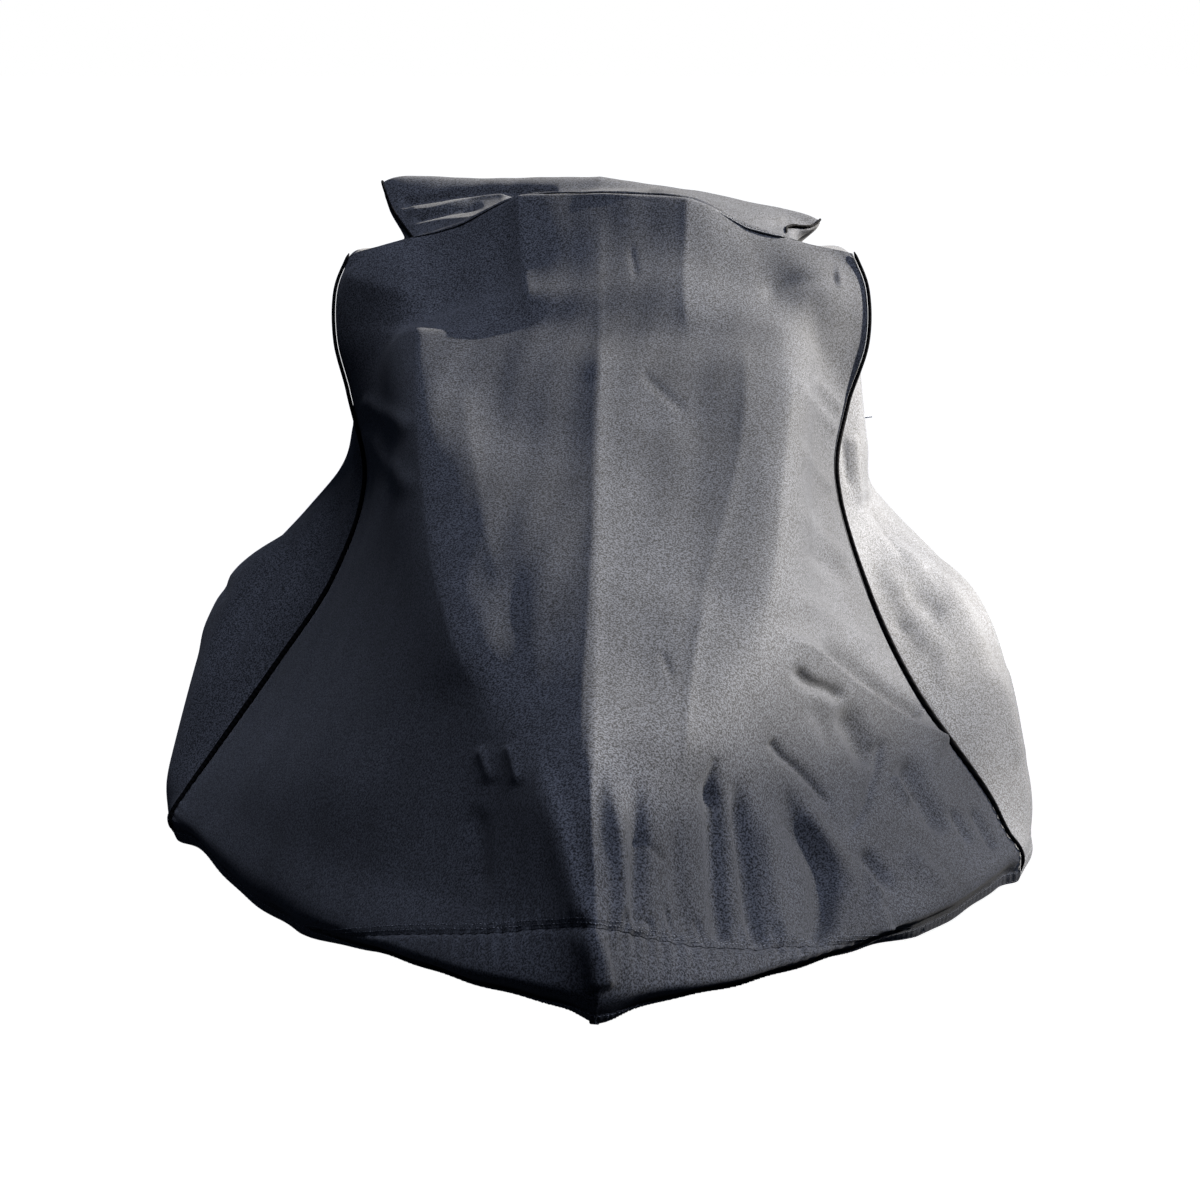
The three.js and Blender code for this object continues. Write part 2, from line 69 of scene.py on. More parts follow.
# Cells of the cloth on each side of the centre line, and lengthwise.
CREASE, EDGE, BAR_END, BAR_UNDER, FLANK, HOOD, SEAM = 4, 8, 13, 15, 15, 22, 22
CORNER = HOOD
HEM = HOOD + SEAM

HOOD_COLUMNS = [0, CREASE / HOOD, EDGE / HOOD, FLANK / HOOD, 1]
HOOD_ROWS = [
    {"up": 0.0, "centre": (-6, 14, -11),
     "right": [(58, 60, -25), (162, 160, -52), (449, 530, -131), (596, 785, -166)],
     "left": [(-71, 60, -20), (-188, 190, -51), (-431, 560, -137), (-619, 880, -142)]},
    {"up": 0.03, "centre": (-2, 0, 30),
     "right": [(61, 45, 18), (166, 140, -9), (452, 515, -87), (598, 778, -125)],
     "left": [(-73, 45, 24), (-188, 170, -7), (-433, 545, -92), (-626, 875, -106)]},
    {"up": 0.08, "centre": (-4, 18, 102),
     "right": [(58, 90, 67), (135, 190, 40), (415, 545, -36), (581, 800, -100)],
     "left": [(-66, 90, 79), (-142, 195, 56), (-402, 560, -18), (-608, 895, -75)]},
    {"up": 0.19, "centre": (-10, 150, 194),
     "right": [(66, 190, 173), (148, 290, 141), (355, 560, 46), (552, 835, -48)],
     "left": [(-73, 190, 179), (-137, 290, 154), (-352, 570, 80), (-573, 925, -29)]},
    {"up": 0.35, "centre": (-7, 380, 284),
     "right": [(95, 400, 272), (206, 480, 273), (333, 680, 166), (455, 895, 84)],
     "left": [(-87, 400, 278), (-180, 480, 280), (-319, 680, 187), (-481, 985, 94)]},
    {"up": 0.5, "centre": (-6, 590, 380),
     "right": [(114, 610, 369), (239, 680, 379), (308, 830, 294), (391, 965, 215)],
     "left": [(-106, 610, 382), (-220, 680, 379), (-307, 830, 301), (-400, 1050, 211)]},
    {"up": 0.66, "centre": (-4, 800, 483),
     "right": [(128, 815, 480), (258, 860, 486), (307, 960, 417), (350, 1045, 363)],
     "left": [(-124, 815, 480), (-247, 860, 486), (-303, 960, 417), (-355, 1115, 348)]},
    {"up": 0.79, "centre": (-1, 970, 581),
     "right": [(134, 985, 579), (269, 1030, 580), (331, 1080, 518), (372, 1125, 466)],
     "left": [(-130, 985, 579), (-264, 1030, 580), (-330, 1080, 514), (-382, 1165, 477)]},
    {"up": 0.85, "centre": (0, 1040, 629),
     "right": [(134, 1050, 624), (262, 1075, 603), (329, 1112, 576), (402, 1160, 547)],
     "left": [(-124, 1050, 617), (-252, 1068, 594), (-322, 1108, 569), (-401, 1185, 548)]},
    {"up": 0.92, "centre": (1, 1125, 690),
     "right": [(131, 1130, 680), (250, 1132, 640), (325, 1158, 643), (406, 1202, 622)],
     "left": [(-120, 1127, 664), (-232, 1118, 618), (-308, 1150, 642), (-402, 1208, 621)]},
    {"up": 1.0, "centre": (6, 1215, 771),
     "right": [(132, 1218, 763), (219, 1225, 725), (308, 1232, 695), (388, 1242, 677)],
     "left": [(-119, 1218, 765), (-214, 1225, 721), (-308, 1232, 697), (-383, 1240, 675)]},
]
BOW_SEAM_UP, BOW_SEAM_END, BOW_SEAM_TIP = 0.08, 14, 0.003
PATCH_ROWS, PATCH_SEAM = 3, -2

# The body's sections give (x, z) or (x, z, y), from the top's centre to the hem.
BODY_COLUMNS = [0, 7, BAR_END, BAR_UNDER, *(CORNER + down for down in (0, 7, 10, 14, 19)), HEM]
BODY_SECTIONS = [
    {"cells": 1, "y": 1300, "centre": (0, 754),
     "right": [(165, 752), (292, 708, 1315), (310, 684, 1310), (398, 652, 1300), (398, 392, 1130),
               (412, 285, 1100), (560, 165, 1060), (638, -62, 945), (640, -162, 905)],
     "left": [(-165, 722), (-295, 692, 1328), (-310, 674, 1322), (-398, 648, 1300), (-380, 388, 1180),
              (-412, 285, 1150), (-560, 178, 1120), (-646, -60, 975), (-647, -148, 965)]},
    {"cells": 3, "y": 1400, "centre": (0, 762),
     "right": [(175, 757, 1375), (335, 706, 1365), (314, 680, 1362), (388, 590, 1380), (418, 388, 1250),
               (440, 296, 1245), (600, 128, 1250), (641, -48, 1180), (634, -180, 1150)],
     "left": [(-175, 742, 1395), (-335, 732, 1418), (-312, 686, 1404), (-380, 590, 1380), (-392, 385, 1270),
              (-430, 308, 1260), (-590, 135, 1260), (-645, -45, 1190), (-638, -170, 1170)]},
    {"cells": 2, "y": 1465, "centre": (0, 778),
     "right": [(190, 745, 1435), (352, 712, 1405), (311, 672, 1405), (368, 530, 1440), (410, 385, 1400),
               (430, 300, 1410), (590, 112, 1430), (639, -42, 1430), (624, -184, 1420)],
     "left": [(-190, 774, 1470), (-354, 767, 1482), (-310, 684, 1455), (-356, 530, 1450), (-406, 385, 1420),
              (-430, 300, 1420), (-590, 112, 1430), (-640, -42, 1430), (-626, -180, 1420)]},
    {"cells": 2, "y": 1555, "centre": (0, 735),
     "right": [(180, 712, 1530), (330, 682, 1490), (314, 644, 1500), (334, 480, 1540), (408, 352),
               (430, 262), (584, 100, 1600), (636, -36, 1620), (611, -182, 1620)],
     "left": [(-190, 728, 1560), (-332, 712, 1560), (-310, 654, 1545), (-334, 480, 1540), (-408, 352),
              (-430, 262), (-584, 100, 1600), (-636, -36, 1620), (-611, -182, 1620)]},
    {"cells": 2, "y": 1680, "centre": (0, 640),
     "both": [(112, 632), (188, 606), (215, 584), (284, 440), (392, 318), (428, 225),
              (572, 84, 1780), (632, -36, 1820), (607, -182, 1820)]},
    {"cells": 2, "y": 1980, "centre": (0, 596),
     "both": [(92, 590), (150, 570), (172, 550), (246, 412), (366, 292), (415, 200),
              (556, 62, 2060), (626, -40, 2080), (601, -182, 2080)]},
    {"cells": 2, "y": 2400, "centre": (0, 628),
     "both": [(92, 622), (152, 598), (174, 574), (240, 400), (352, 262), (400, 174),
              (540, 40), (614, -52), (590, -180)]},
    {"cells": 2, "y": 2790, "centre": (0, 640),
     "both": [(88, 632), (146, 606), (166, 584), (228, 380), (336, 232, 2760), (384, 148, 2750),
              (520, 22, 2740), (600, -58, 2740), (577, -178, 2740)]},
    {"cells": 2, "y": 2960, "centre": (0, 470),
     "both": [(88, 464), (146, 440), (168, 420), (232, 300), (334, 190, 2950), (380, 118, 2955),
              (500, 10, 2980), (584, -62, 2990), (562, -176, 2990)]},
    {"cells": 2, "y": 3120, "centre": (0, 196),
     "both": [(92, 194), (156, 186), (180, 178), (250, 140), (344, 92, 3110), (388, 54, 3116),
              (480, -4, 3130), (560, -64, 3140), (540, -174, 3140)]},
    {"cells": 1, "y": 3320, "centre": (0, 96),
     "both": [(96, 94), (166, 88), (190, 82, 3318), (270, 50, 3310), (360, 8, 3298), (396, -8, 3292),
              (460, -40, 3275), (520, -72, 3245), (514, -172, 3235)]},
    {"cells": 1, "y": 3350, "centre": (0, -168),
     "both": [(96, -168), (166, -168, 3348), (190, -168, 3347), (270, -168, 3338), (360, -168, 3322),
              (396, -168, 3312), (450, -168, 3294), (500, -168, 3262), (505, -169, 3255)]},
]
BODY_ALONG = np.cumsum([0] + [section["cells"] for section in BODY_SECTIONS])
BODY_LENGTH = int(BODY_ALONG[-1])
BAR_BACK = int(BODY_ALONG[4])


def soft_fold(path, rise, wide, fade, crisp=False):
    """One fold: its path, how far it stands out in millimetres (below 0, drawn in), how wide it
    is on its left and right, and over what length it fades at the start and at the end."""
    return {"path": path, "rise": rise, "wide": wide, "fade": fade, "crisp": crisp}


def crease(*fold):
    """A fold that comes to an edge."""
    return soft_fold(*fold, crisp=True)


# Folds and creases of the hood, as they run in the photograph (its pixels, from
# the top left).
HOOD_FOLDS = [
    # the facets' edges
    crease([(602, 330), (598, 420), (595, 520), (591, 600), (586, 680), (583, 740), (582, 800)],
           6, (34, 46), (60, 50)),
    crease([(421, 322), (421, 400), (426, 480), (437, 560), (455, 630), (480, 700)],
           9, (40, 34), (20, 60)),
    crease([(345, 268), (352, 278), (393, 290), (424, 303), (440, 311)], 7, (24, 24), (6, 16)),
    crease([(792, 350), (789, 420), (780, 490), (775, 560), (762, 630)], 4, (30, 30), (60, 60)),
    crease([(744, 330), (745, 420), (728, 510), (708, 580), (694, 640)], 7, (70, 44), (60, 60)),
    crease([(521, 197), (523, 236), (526, 275), (533, 330)], 14, (22, 120), (2, 50)),
    crease([(687, 197), (686, 240), (684, 290), (690, 340)], 6, (30, 40), (2, 50)),
    crease([(604, 197), (603, 260), (602, 330)], -3, (40, 40), (2, 60)),
    crease([(462, 380), (473, 451), (484, 515), (500, 590)], 2, (30, 30), (50, 50)),
    # the right shoulder's fold
    soft_fold([(760, 300), (783, 287), (806, 281), (842, 278)], -5, (10, 14), (30, 10)),
    # the lower middle turns away to the left of this edge
    crease([(712, 590), (696, 650), (686, 715), (680, 790)], 11, (60, 40), (60, 60)),
    # the keel, and the ridge whose left side is dark to its right
    soft_fold([(530, 740), (548, 785), (567, 840), (581, 890), (591, 928), (601, 962), (609, 992)],
              9, (20, 9), (90, 14)),
    soft_fold([(608, 760), (613, 800), (617, 842), (621, 884), (624, 926), (625, 940)],
              12, (9, 20), (90, 12)),
    # troughs that run down to the bow seam, gentle on the left and steep on the right
    soft_fold([(634, 770), (640, 840), (638, 878), (639, 932)], -13, (14, 9), (80, 12)),
    soft_fold([(676, 800), (678, 860), (682, 900), (690, 940)], -5, (14, 9), (60, 10)),
    soft_fold([(714, 757), (713, 783), (717, 805), (719, 840), (721, 878), (722, 900), (727, 946)],
              -13, (13, 7), (50, 12)),
    crease([(714, 757), (713, 783), (717, 800), (724, 812)], -4, (4, 3), (5, 20)),
    soft_fold([(733, 770), (740, 798), (746, 838), (751, 878), (755, 916), (765, 953)],
              -15, (9, 9), (60, 12)),
    soft_fold([(762, 795), (768, 850), (776, 905), (786, 950)], 6, (8, 16), (60, 8)),
    soft_fold([(778, 776), (803, 824), (818, 851), (827, 872), (829, 900), (826, 925), (817, 948)],
              -18, (20, 9), (80, 12)),
    crease([(771, 738), (783, 755), (798, 767), (816, 785), (836, 811)], -8, (6, 4), (8, 30)),
    # narrow puckers over the bow seam
    soft_fold([(622, 908), (626, 932)], -5, (3, 3), (10, 3)),
    soft_fold([(650, 916), (656, 938)], -4, (4, 3), (9, 3)),
    soft_fold([(668, 900), (676, 940)], -4, (4, 3), (16, 3)),
    soft_fold([(698, 915), (704, 945)], -5, (4, 3), (12, 3)),
    soft_fold([(738, 920), (745, 950)], -5, (4, 3), (12, 3)),
    soft_fold([(772, 918), (783, 954)], -6, (4, 3), (16, 3)),
    soft_fold([(800, 930), (806, 956)], -4, (4, 3), (10, 3)),
    # the long folds that run down to the right
    crease([(770, 628), (793, 642), (819, 661), (844, 683), (870, 701), (895, 719), (925, 734), (954, 747)],
           17, (30, 10), (60, 24)),
    soft_fold([(786, 664), (806, 682), (829, 692), (842, 706)], -9, (9, 6), (24, 20)),
    soft_fold([(815, 640), (834, 655), (859, 671), (880, 688), (898, 701), (921, 716)],
              -15, (12, 10), (40, 5)),
    soft_fold([(834, 700), (850, 722), (864, 745), (876, 772)], -17, (16, 13), (40, 30)),
    crease([(881, 737), (880, 762), (873, 783), (867, 806), (846, 839)], -7, (6, 4), (15, 24)),
    soft_fold([(899, 756), (915, 782), (931, 808), (947, 838)], -17, (11, 13), (30, 34)),
    crease([(893, 776), (902, 792), (912, 808)], 7, (5, 6), (8, 18)),
    soft_fold([(951, 806), (962, 826), (974, 846)], -8, (6, 6), (16, 20)),
    soft_fold([(971, 806), (984, 830), (997, 853)], -7, (5, 6), (16, 20)),
    soft_fold([(862, 846), (876, 868), (895, 892)], -12, (9, 9), (20, 30)),
    crease([(855, 860), (868, 880), (881, 902), (894, 932)], 12, (14, 6), (40, 3)),
    crease([(881, 900), (888, 914), (893, 930)], -9, (4, 6), (8, 6)),
    soft_fold([(806, 700), (826, 728), (842, 762)], -6, (12, 12), (30, 40)),
    soft_fold([(790, 800), (822, 836), (846, 872), (856, 910)], 7, (14, 14), (40, 40)),
    soft_fold([(905, 850), (930, 872), (950, 888)], 7, (14, 10), (30, 20)),
    # tension folds beside the right side seam
    crease([(793, 383), (812, 405), (838, 432)], 5, (9, 7), (20, 6)),
    crease([(812, 378), (828, 395), (842, 410)], 4, (6, 6), (12, 4)),
    crease([(795, 440), (812, 465), (832, 490)], 4, (9, 7), (30, 6)),
    soft_fold([(792, 500), (815, 530), (845, 560)], 4, (10, 9), (40, 6)),
    soft_fold([(800, 545), (828, 566), (852, 584)], -4, (9, 9), (30, 6)),
    soft_fold([(790, 590), (830, 618), (872, 650)], 5, (14, 12), (40, 10)),
    # fine creases of the centre
    crease([(640, 372), (668, 398), (688, 414)], -2, (3, 4), (15, 15)),
    crease([(636, 836), (655, 849), (670, 862)], -3, (4, 4), (8, 8)),
    crease([(660, 655), (666, 668), (671, 684)], -1.5, (3, 3), (8, 8)),
    crease([(631, 246), (634, 262), (637, 280)], -1.5, (3, 3), (8, 8)),
    # the left shoulder and flank
    soft_fold([(362, 400), (400, 420), (421, 436)], 4, (14, 12), (10, 20)),
    soft_fold([(362, 430), (398, 470), (420, 500)], 4, (16, 14), (10, 30)),
    crease([(480, 745), (489, 768), (493, 786)], 5, (5, 7), (12, 14)),
    crease([(508, 742), (516, 764), (520, 788)], 5, (6, 6), (12, 14)),
    soft_fold([(478, 800), (480, 850), (482, 905)], -5, (12, 12), (30, 40)),
]

# Folds of the handlebar panel, in the same way.
BAR_FOLDS = [
    crease([(405, 213), (434, 210), (464, 203), (496, 197), (513, 198)], 6, (6, 9), (20, 16)),
    crease([(405, 229), (445, 222), (474, 219), (492, 211), (513, 202)], 5, (6, 8), (20, 14)),
    soft_fold([(400, 203), (452, 195), (502, 191), (560, 192)], -9, (7, 7), (14, 20)),
    soft_fold([(412, 221), (450, 213), (486, 206)], -6, (5, 5), (14, 20)),
    soft_fold([(640, 187), (690, 197), (740, 211), (790, 222)], 4, (7, 8), (40, 20)),
    soft_fold([(700, 204), (740, 219), (784, 230)], -3, (5, 5), (20, 14)),
    crease([(744, 206), (768, 218), (800, 226)], 3, (4, 5), (16, 10)),
]

# Folds of the sides' front parts, in the same way.
FRONT_FOLDS = [
    crease([(855, 434), (857, 470), (860, 506)], 5, (6, 7), (14, 16)),
    soft_fold([(845, 436), (846, 460), (850, 490)], -4, (4, 4), (10, 14)),
    crease([(866, 492), (874, 511), (898, 546), (911, 562)], -5, (5, 8), (12, 14)),
    crease([(927, 565), (940, 578), (954, 592)], -3, (4, 6), (8, 10)),
    crease([(892, 621), (900, 627), (908, 634)], -3, (3, 4), (5, 6)),
    crease([(905, 590), (924, 606), (945, 620)], -5, (6, 8), (14, 16)),
    crease([(926, 646), (944, 668), (960, 684)], -4, (5, 7), (12, 14)),
    soft_fold([(878, 560), (900, 590), (930, 640), (962, 700)], 4, (12, 14), (30, 50)),
    crease([(1002, 664), (1014, 710), (1022, 768)], 5, (12, 12), (20, 30)),
    crease([(230, 578), (227, 590), (224, 602)], -4, (3, 3), (6, 6)),
    soft_fold([(330, 500), (290, 560), (262, 620), (236, 690)], 5, (12, 16), (40, 60)),
    soft_fold([(300, 540), (262, 590), (238, 640)], -5, (10, 12), (30, 40)),
]

# Folds of the body's left (-1) and right side, seen from the side, as (y, z) in millimetres.
SIDE_FOLDS = [
    (-1, soft_fold([(1180, 330), (1010, 60)], -7, (26, 22), (60, 60))),
    (-1, soft_fold([(1240, 250), (1180, 150), (1120, 60)], 6, (26, 30), (60, 60))),
    (1, soft_fold([(1170, 300), (1090, 160), (1000, 40)], -6, (26, 28), (60, 60))),
    (1, soft_fold([(1560, 300), (1610, 160), (1700, 20)], -9, (34, 46), (90, 90))),
    (-1, soft_fold([(1600, 300), (1640, 160), (1660, 20)], -8, (36, 46), (90, 90))),
    (1, soft_fold([(2060, 330), (2046, 160), (2010, 10)], 9, (46, 36), (90, 90))),
    (-1, soft_fold([(2010, 330), (2040, 160), (2060, 0)], 8, (44, 40), (90, 90))),
    (1, soft_fold([(2480, 320), (2500, 160), (2560, -20)], -10, (38, 50), (90, 90))),
    (-1, soft_fold([(2440, 330), (2420, 160), (2380, -10)], -9, (46, 38), (90, 90))),
    (1, soft_fold([(2800, 300), (2850, 140), (2920, -20)], 8, (40, 36), (90, 90))),
    (-1, soft_fold([(2820, 300), (2850, 140), (2900, -10)], 9, (40, 36), (90, 90))),
]


# Curves and surfaces

def curve_through(knots, points, at):
    """Smooth curves through points (knot, [copy,] xyz) that stand at rising knots."""
    knots = np.asarray(knots, float)
    points = np.asarray(points, float)
    slopes = np.empty_like(points)
    wide = np.diff(knots).reshape((-1,) + (1,) * (points.ndim - 1))
    slopes[0] = (points[1] - points[0]) / wide[0]
    slopes[-1] = (points[-1] - points[-2]) / wide[-1]
    slopes[1:-1] = (points[2:] - points[:-2]) / (wide[1:] + wide[:-1])
    span = np.searchsorted(knots[1:-1], at)
    copy = np.arange(len(at))
    pick = (lambda array, k: array[k]) if points.ndim == 2 else (lambda array, k: array[k, copy])
    width = (knots[span + 1] - knots[span])[:, None]
    share = (at - knots[span])[:, None] / width
    blend = share * share * (3 - 2 * share)
    start, end = pick(points, span), pick(points, span + 1)
    lead = share * (1 - share) ** 2 * width
    trail = -share * share * (1 - share) * width
    return start + (end - start) * blend + pick(slopes, span) * lead + pick(slopes, span + 1) * trail


def hood_form(across, up):
    """The hood's plain surface: across from -1 to 1 between the side seams, up from 0 to 1."""
    left = (across < 0)[:, None]
    out = np.abs(across)
    rows = [
        np.where(
            left,
            curve_through(HOOD_COLUMNS, [row["centre"], *row["left"]], out),
            curve_through(HOOD_COLUMNS, [row["centre"], *row["right"]], out),
        )
        for row in HOOD_ROWS
    ]
    return curve_through([row["up"] for row in HOOD_ROWS], rows, up)


def body_front(cell):
    """The body's front edge: the hood's top edge, then its side seam down to the hem."""
    out = np.abs(cell)
    on_top = out <= CORNER
    across = np.where(on_top, cell / CORNER, np.sign(cell))
    up = np.where(on_top, 1.0, 1 - (out - CORNER) / SEAM)
    return hood_form(across, up)


def section_line(section, cell):
    out = np.abs(cell)
    lines = {}
    for side in ("left", "right"):
        flip = -1 if side == "left" and "both" in section else 1
        rows = [section["centre"], *section.get("both", section.get(side))]
        points = [(flip * row[0], row[2] if len(row) > 2 else section["y"], row[1]) for row in rows]
        lines[side] = curve_through(BODY_COLUMNS, points, out)
    return np.where((cell < 0)[:, None], lines["left"], lines["right"])


def body_form(cell, along):
    stations = [body_front(cell)] + [section_line(section, cell) for section in BODY_SECTIONS]
    return curve_through(BODY_ALONG, stations, along)


def bow_seam_up(cell):
    out = np.abs(cell) / BOW_SEAM_END
    return np.where(out > 1, 0, np.maximum(BOW_SEAM_UP * (1 - out * out), BOW_SEAM_TIP))


def hood_up(cell, row):
    """How far up the hood a row lies: rows run from 0 at the bow seam, and below 0 to the hem."""
    low = bow_seam_up(cell)
    return np.where(row < 0, low * (1 + row / PATCH_ROWS), low + (1 - low) * (row / SEAM))


def hood_cell(cell, row):
    return hood_form(cell / HOOD, hood_up(cell, row))


def surface_frame(shape, a, b, a_limits, b_limits, step=1e-3):
    """The ways out of a surface, and how many millimetres one cell spans each way."""
    a0, a1 = np.maximum(a - step, a_limits[0]), np.minimum(a + step, a_limits[1])
    b0, b1 = np.maximum(b - step, b_limits[0]), np.minimum(b + step, b_limits[1])
    by_a = (shape(a1, b) - shape(a0, b)) / (a1 - a0)[:, None]
    by_b = (shape(a, b1) - shape(a, b0)) / (b1 - b0)[:, None]
    out = np.cross(by_a, by_b)
    out = out / np.linalg.norm(out, axis=1, keepdims=True)
    return out, np.linalg.norm(by_a, axis=1), np.linalg.norm(by_b, axis=1)


# Folds

def in_photo(points):
    """Where points show in the photograph, and how many of its pixels a millimetre spans there."""
    away = points - CAMERA_AT
    depth = away[:, 1] * math.cos(CAMERA_DOWN) - away[:, 2] * math.sin(CAMERA_DOWN)
    rise = away[:, 1] * math.sin(CAMERA_DOWN) + away[:, 2] * math.cos(CAMERA_DOWN)
    scale = PIXELS_PER_TANGENT / depth
    x = PHOTO_CENTRE[0] + scale * away[:, 0]
    y = PHOTO_CENTRE[1] - scale * rise
    return np.stack([x, y], 1), scale


PATH_STEPS = 24
CRISP_ROUND = 0.8


def fold_rise(fold, spots, scale):
    """How far one fold moves each spot out. Spots and the fold's path share one flat view."""
    path = np.array(fold["path"], float)
    knots = np.linspace(0, 1, len(path))
    if len(path) > 2:
        path = curve_through(knots, path, np.linspace(0, 1, PATH_STEPS))
    reach = 4 * max(fold["wide"]) * float(np.max(scale))
    near = np.all((spots > path.min(0) - reach) & (spots < path.max(0) + reach), axis=1)
    rise = np.zeros(len(spots))
    if not near.any():
        return rise
    p, size = spots[near], np.broadcast_to(scale, len(spots))[near]
    steps = np.diff(path, axis=0)
    lengths = np.linalg.norm(steps, axis=1)
    starts = np.concatenate([[0], np.cumsum(lengths)[:-1]])
    best = np.full(len(p), np.inf)
    side = np.zeros(len(p))
    along = np.zeros(len(p))
    for k, (start, step, length) in enumerate(zip(path[:-1], steps, lengths)):
        away = p - start
        share = np.clip(away @ step / length**2, 0, 1)
        off = away - share[:, None] * step
        far = np.linalg.norm(off, axis=1)
        closer = far < best
        best = np.where(closer, far, best)
        turn = step[0] * away[:, 1] - step[1] * away[:, 0]
        side = np.where(closer, turn, side)
        along = np.where(closer, starts[k] + share * length, along)
    total = float(lengths.sum())
    wide = np.where(side > 0, fold["wide"][0], fold["wide"][1]) * size
    if fold["crisp"]:
        soft = CRISP_ROUND * size
        shape = np.exp(-(np.sqrt(best**2 + soft**2) - soft) / wide)
    else:
        shape = np.exp(-((best / wide) ** 2))
    fades = [np.maximum(length, 1) * size for length in fold["fade"]]
    ends = [np.clip(along / fades[0], 0, 1), np.clip((total - along) / fades[1], 0, 1)]
    taper = [0.5 - 0.5 * np.cos(math.pi * end) for end in ends]
    rise[near] = fold["rise"] * shape * taper[0] * taper[1]
    return rise


def calm(distance, over):
    return 1 - np.exp(-((distance / over) ** 2))


# Pieces of cloth

DENSITY = 1.0
# Extra grid lines beside a seam, in cells from it.
SEAM_LINES = np.array([0, 0.02, 0.045, 0.075, 0.11, 0.15, 0.2])


def grid_lines(count, low, high, knots=None, seams=1.0):
    """Places of grid lines from low to high, with extra ones at both ends.

    knots are (share of the lines, share of the way) pairs. seams is the size of the extra lines.
    """
    share = np.linspace(0, 1, round(count * DENSITY) + 1)
    if knots:
        share = np.interp(share, *zip(*knots))
    lines = low + (high - low) * share
    edge = SEAM_LINES * seams
    inner = lines[(lines > low + edge[-1] * 1.1) & (lines < high - edge[-1] * 1.1)]
    return np.concatenate([low + edge, inner, high - edge[::-1]])


def grid_piece(name, a_lines, b_lines, place, slot):
    """A flat grid whose corners are moved to where place puts them, with its size as it is cut."""
    bm = bmesh.new()
    columns, rows = len(a_lines) - 1, len(b_lines) - 1
    bmesh.ops.create_grid(bm, x_segments=columns, y_segments=rows, size=0.5)
    flat = np.array([v.co for v in bm.verts])
    i = np.rint((flat[:, 0] + 0.5) * columns).astype(int)
    j = np.rint((flat[:, 1] + 0.5) * rows).astype(int)
    points = place(a_lines[i], b_lines[j])
    layout = np.empty((columns + 1, rows + 1), int)
    layout[i, j] = np.arange(len(flat))
    net = points[layout]
    across = np.linalg.norm(np.diff(net, axis=0), axis=2)
    along = np.linalg.norm(np.diff(net, axis=1), axis=2)
    u = np.concatenate([np.zeros((1, rows + 1)), np.cumsum(across, axis=0)])
    v = np.concatenate([np.zeros((columns + 1, 1)), np.cumsum(along, axis=1)], axis=1)
    uv = np.empty((len(flat), 2))
    uv[layout.ravel(), 0] = u.ravel()
    uv[layout.ravel(), 1] = v.ravel()
    for vert, co in zip(bm.verts, (points - TOP_SUPPORT) * MM):
        vert.co = co
    layer = bm.loops.layers.uv.new("cloth_metres")
    for face in bm.faces:
        face.smooth = True
        for loop in face.loops:
            loop[layer].uv = uv[loop.vert.index] * MM
    mesh = bpy.data.meshes.new(name)
    bm.to_mesh(mesh)
    bm.free()
    piece = new_piece(name, mesh, slot)
    area = float(sum(face.area for face in piece.data.polygons))
    return piece, u.max() * MM, v.max() * MM, area


def new_piece(name, mesh, slot):
    piece = bpy.data.objects.new(name, mesh)
    bpy.context.scene.collection.objects.link(piece)
    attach(piece, "root")
    return piece


def sink(distance, depth=2.4, over=5.0):
    """Cloth is drawn in beside a seam."""
    return -depth * np.exp(-((distance / over) ** 2))


def slack(p):
    """The small unevenness of cloth that hangs."""
    wave = np.sin(p[:, 0] / 29 + p[:, 2] / 41 + 1.2 * np.sin(p[:, 1] / 63))
    broad = 0.7 * wave * np.sin(p[:, 2] / 57 - p[:, 0] / 83 + 0.7)
    return broad + 0.4 * np.sin(p[:, 0] / 13 - p[:, 1] / 31) * wave


def gathers(along, distance, pitch, height, over):
    """Small puckers square to a seam, uneven along it, that die away from it."""
    uneven = 0.45 + 0.55 * np.sin(along / (pitch * 4.3) + 0.6) ** 2
    puckers = np.sin(2 * math.pi * along / pitch + 1.7 * np.sin(along / 31))
    return height * uneven * puckers * np.exp(-distance / over)


def hem_wave(along, to_hem):
    wave = 2.0 * np.sin(along / 31 + 1.1 * np.sin(along / 67)) + 1.2 * np.sin(along / 12.5 + 1)
    return wave * np.exp(-((to_hem / 34) ** 2))


HOOD_CELLS = ((-HOOD, HOOD), (-PATCH_ROWS, SEAM))
HOOD_TALL = 1200.0
# The elastic draws the hem in: all the way down under the bow, and beside it
# only above the casing.
BOW_CURL, BOW_CURL_TALL, CURL_ENDS = 30.0, 40.0, (11.0, 14.0)
SIDE_CURL, SIDE_CURL_TALL, CASING_TALL = 13.0, 52.0, 18.0
# It is drawn in less at the sharp tip.
TIP_EASE, TIP_CELLS = 0.7, 3.0


def drawn_in(cell, above):
    under = np.clip((CURL_ENDS[1] - np.abs(cell)) / (CURL_ENDS[1] - CURL_ENDS[0]), 0, 1)
    bow = BOW_CURL * np.clip(1 - above / BOW_CURL_TALL, 0, 1) ** 1.2
    beside = SIDE_CURL * np.clip((SIDE_CURL_TALL - above) / (SIDE_CURL_TALL - CASING_TALL), 0, 1) ** 1.6
    tip = 1 - TIP_EASE * np.exp(-((cell / TIP_CELLS) ** 2))
    return tip * (under * bow + (1 - under) * beside)


